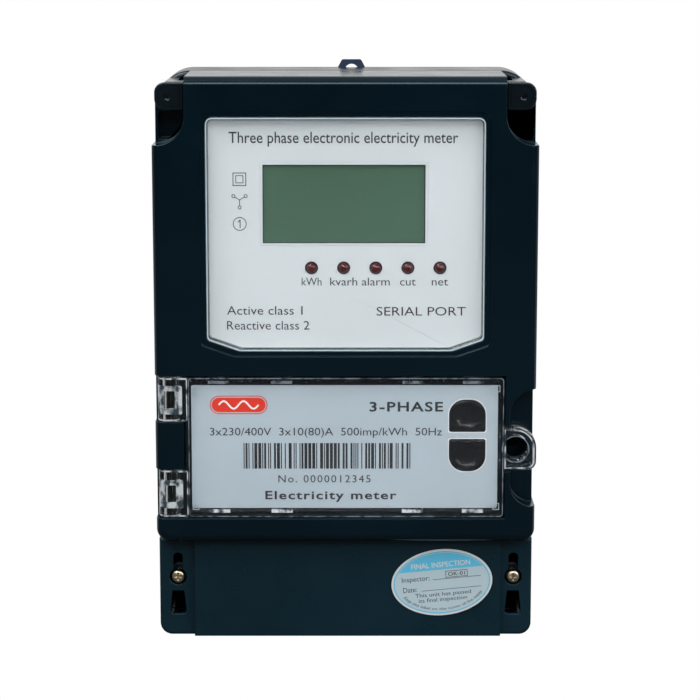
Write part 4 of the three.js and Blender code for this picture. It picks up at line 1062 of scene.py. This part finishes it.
def door_edge_glints():
    """Painted highlights where light catches the door's clear edges: its knuckles, its outline, the stops in its rim
    and the latch ear.
    """
    front, flush, behind = FACE - 0.15, FACE - 0.05, FACE + 0.3
    for name, (bottom, top) in KNUCKLES.items():
        middle = (bottom + top) / 2
        ends = (bottom + 0.1, top - 0.1)
        knuckle_frame(f"{name}_knuckle_frame",
                      rectangle(KNUCKLE_LEFT - 2.6, KNUCKLE_RIGHT + 3.2, middle - 6.6, middle + 6.2, (0.8,) * 4),
                      rectangle(KNUCKLE_LEFT, KNUCKLE_RIGHT, middle - 3.9, middle + 3.9, (0.3,) * 4), *ends)
        knuckle_frame(f"{name}_knuckle_edge",
                      rectangle(KNUCKLE_LEFT - 2.8, BAY_LEFT + 1.2, bottom + 0.3, top - 0.3, (0.8,) * 4),
                      rectangle(KNUCKLE_LEFT - 2.4, BAY_LEFT + 0.7, bottom + 0.9, top - 0.9, (0.4,) * 4), *ends)
    raised_frame("door_outline",
                 rectangle(BAY_LEFT + 1.6, DOOR_RIGHT - 0.2, DOOR_BOTTOM + 0.2, DOOR_TOP - 0.2, (1.5,) * 4),
                 rectangle(BAY_LEFT + 1.95, DOOR_RIGHT - 0.6, DOOR_BOTTOM + 0.6, DOOR_TOP - 0.6, (1.2,) * 4),
                 flush, behind, "dim_edge_glint")
    # Painted light: the upper stops get the dim highlight and the lower stops the bright one.
    rows = (("upper", DOOR_TOP - 3.1, DOOR_TOP - 1.7, "dim_edge_glint"), ("lower", DOOR_BOTTOM + 1.7, DOOR_BOTTOM + 3.1, "edge_glint"))
    for row, low, high, look in rows:
        for i, x in enumerate(STOP_XS, 1):
            stop = prism(rectangle(x - STOP_HALF, x + STOP_HALF, low, high), DOOR_PLATE_BACK + 0.05, FACE + 7, 0.15, 3)
            made(stop, f"{row}_stop_{i}", look, "clear_door", (), 0)
    for name, x in (("left", BAY_LEFT + 4.6), ("right", DOOR_RIGHT - 3.4)):
        for height, z in (("upper", DOOR_TOP - 5.0), ("lower", DOOR_BOTTOM + 5.0)):
            outer, inner = (rectangle(x - half, x + half, z - half, z + half) for half in (1.5, 1.2))
            raised_frame(f"{height}_{name}_corner", outer, inner, flush, behind, "label")
    raised_frame("latch_hole_edge", circle(LATCH_X, LATCH_Z, LATCH_HOLE + 0.45, 64),
                 circle(LATCH_X, LATCH_Z, LATCH_HOLE + 0.05, 64), front, behind, "dim_edge_glint")
    raised_frame("latch_ear_edge",
                 rectangle(DOOR_RIGHT + 0.3, DOOR[1] - 0.9, LATCH_Z - 8.9, LATCH_Z + 8.9, (0, 3.4, 8.3, 0), 14),
                 rectangle(DOOR_RIGHT + 0.9, DOOR[1] - 1.5, LATCH_Z - 8.3, LATCH_Z + 8.3, (0, 2.8, 7.7, 0), 14),
                 front, behind)


# ------------------------------------------------------------------ screws and sticker

def cross_screw(name, replaced, body, material_name, head_radius, head_height, shank):
    """A pan head with a cross recess, as sealing screws have."""
    x0, x1, front, end, z0, z1 = span(replaced)
    x, z = (x0 + x1) / 2, (z0 + z1) / 2
    dome = [(head_radius * math.sin(math.radians(a)), front + head_height * 0.45 * (1 - math.cos(math.radians(a))))
            for a in range(0, 91, 15)]
    body_points = dome + [(head_radius, front + head_height), (shank, front + head_height),
                          (shank, end - shank), (shank / 2, end), (0, end)]
    piece = turned(body_points, x, z, 40)
    depth = front + head_height * 0.6
    wide, slim = head_radius * 0.62, head_radius * 0.16
    piece = cut(piece, block(x - wide, x + wide, front - 1, depth, z - slim, z + slim),
                block(x - slim, x + slim, front - 1, depth, z - wide, z + wide))
    made(piece, name, material_name, body, [replaced], 0.12, 2)


def sticker():
    """An oval test sticker: a white border, a blue line, a blue cap and a few generic words."""
    x, z = (STICKER[0] + STICKER[1]) / 2, (STICKER[4] + STICKER[5]) / 2
    tilt = math.radians(5.5)
    front, back = STICKER[2], STICKER[3]

    def oval(width, height, sides=96):
        turn = 2 * math.pi / sides
        return [Vector((width / 2 * math.cos(i * turn), height / 2 * math.sin(i * turn))) for i in range(sides)]

    turn = Matrix.Rotation(tilt, 2)
    body = [turn @ point + Vector((x, z)) for point in oval(45.9, 30.9)]
    made(prism(body, front, back), "oval_sticker", "ink_white", "terminal_cover", ["quality_sticker"],
         0.05, 2)

    def ink(depth):
        return Ink(front - depth, (x, z), tilt)

    field = ink(0.02)
    field.polygon(oval(43.3, 28.3))
    field.done("sticker_field", "paper", "terminal_cover", "white_sticker")
    blue = ink(0.04)
    blue.band(oval(44.0, 29.0), oval(42.9, 27.9))
    cap_z, run, rise = 6.0, 21.2, 13.7
    reach = run * math.sqrt(1 - (cap_z / rise) ** 2)
    cap = [(reach, cap_z)]
    start = math.atan2(cap_z / rise, reach / run)
    for i in range(1, 40):
        angle = start + (math.pi - 2 * start) * i / 40
        cap.append((run * math.cos(angle), rise * math.sin(angle)))
    cap.append((-reach, cap_z))
    blue.polygon(cap)
    blue.done("sticker_blue", "ink_blue", "terminal_cover", "white_sticker")
    light = ink(0.06)
    light.text("FINAL INSPECTION", -13.2, 13.6, 7.2, 2.5, 0.01)
    light.done("sticker_title", "ink_white", "terminal_cover", "white_sticker")

    dark = ink(0.04)
    dark.text("Inspector:", -18.0, -5.4, 1.5, 2.4)
    dark.stroke([(-3.8, 1.6), (17.8, 1.6)], 0.22)
    dark.frame(2.0, 12.0, 2.0, 5.1, 0.25)
    dark.text("OK-01", 3.1, 10.9, 2.7, 1.8, 0.008)
    dark.text("Date:", -17.8, -11.6, -3.4, 2.5)
    dark.stroke([(-9.4, -3.3), (17.6, -3.3)], 0.22)
    dark.text("This unit has passed", -12.6, 12.8, -6.2, 1.9)
    dark.text("its final inspection", -11.2, 10.8, -8.7, 1.9)

    def along_edge(spot):
        angle = -math.pi / 2 + spot.x / 17.5
        out = 1 - (spot.y + 0.6) / 16.0
        return Vector((20.6 * out * math.cos(angle), 13.2 * out * math.sin(angle)))

    dark.text("Keep this label on the cover of the meter", -19.5, 19.5, -0.3, 1.5, 0, along_edge)
    dark.done("sticker_words", "ink", "terminal_cover", "white_sticker")


make_materials()
place_camera()
studio_world()
floor()
area_light("key", (-0.75, -0.55, 1.25), (0, 0, 0), (0.9, 0.9), 13)
area_light("fill", (0.95, -0.75, 0.55), (0, 0, 0), (0.7, 0.9), 6)
area_light("front", (0.0, -1.6, 0.9), (0, 0, 0), (1.2, 0.5), 8.5)
bpy.context.scene.view_settings.view_transform = "Standard"

front_cover()
base_shell()
corner_caps()
terminal_cover()
hanger()
window_lens()
faceplate()
faceplate_printing()
display()
lamps()
nameplate()
nameplate_printing()
buttons()
door()
door_edge_glints()
for hand_name in ("left", "right"):
    cross_screw(f"{hand_name}_seal_screw", f"{hand_name}_cover_screw", f"{hand_name}_cover_screw", "zinc",
                2.8, 2.0, 1.6)
cross_screw("lock_screw", "cover_lock_screw", "cover_lock_screw", "blackened", 3.6, 3.0, 1.6)
sticker()

CAD_MATERIALS = {
    "lcd_backlight": "white", "upper_button_switch": "dark", "lower_button_switch": "dark",
    "upper_hinge_pin": "blackened", "lower_hinge_pin": "blackened",
    "left_case_screw": "steel", "right_case_screw": "steel",
    "terminal_block": "dark", "auxiliary_terminals": "connector", "main_board": "board",
    "power_transformer": "tape", "disconnect_relay": "dark", "backup_battery": "sleeve",
}
CAD_MATERIALS.update({f"current_transformer_{i}": "resin" for i in range(1, 4)})
CAD_MATERIALS.update({f"terminal_{i}": "brass" for i in range(1, 8)})
CAD_MATERIALS.update({f"clamp_screw_{i}{k}": "steel" for i in range(1, 8) for k in "ab"})
for node, name in CAD_MATERIALS.items():
    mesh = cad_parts[node].data
    mesh.materials.clear()
    mesh.materials.append(material(name))
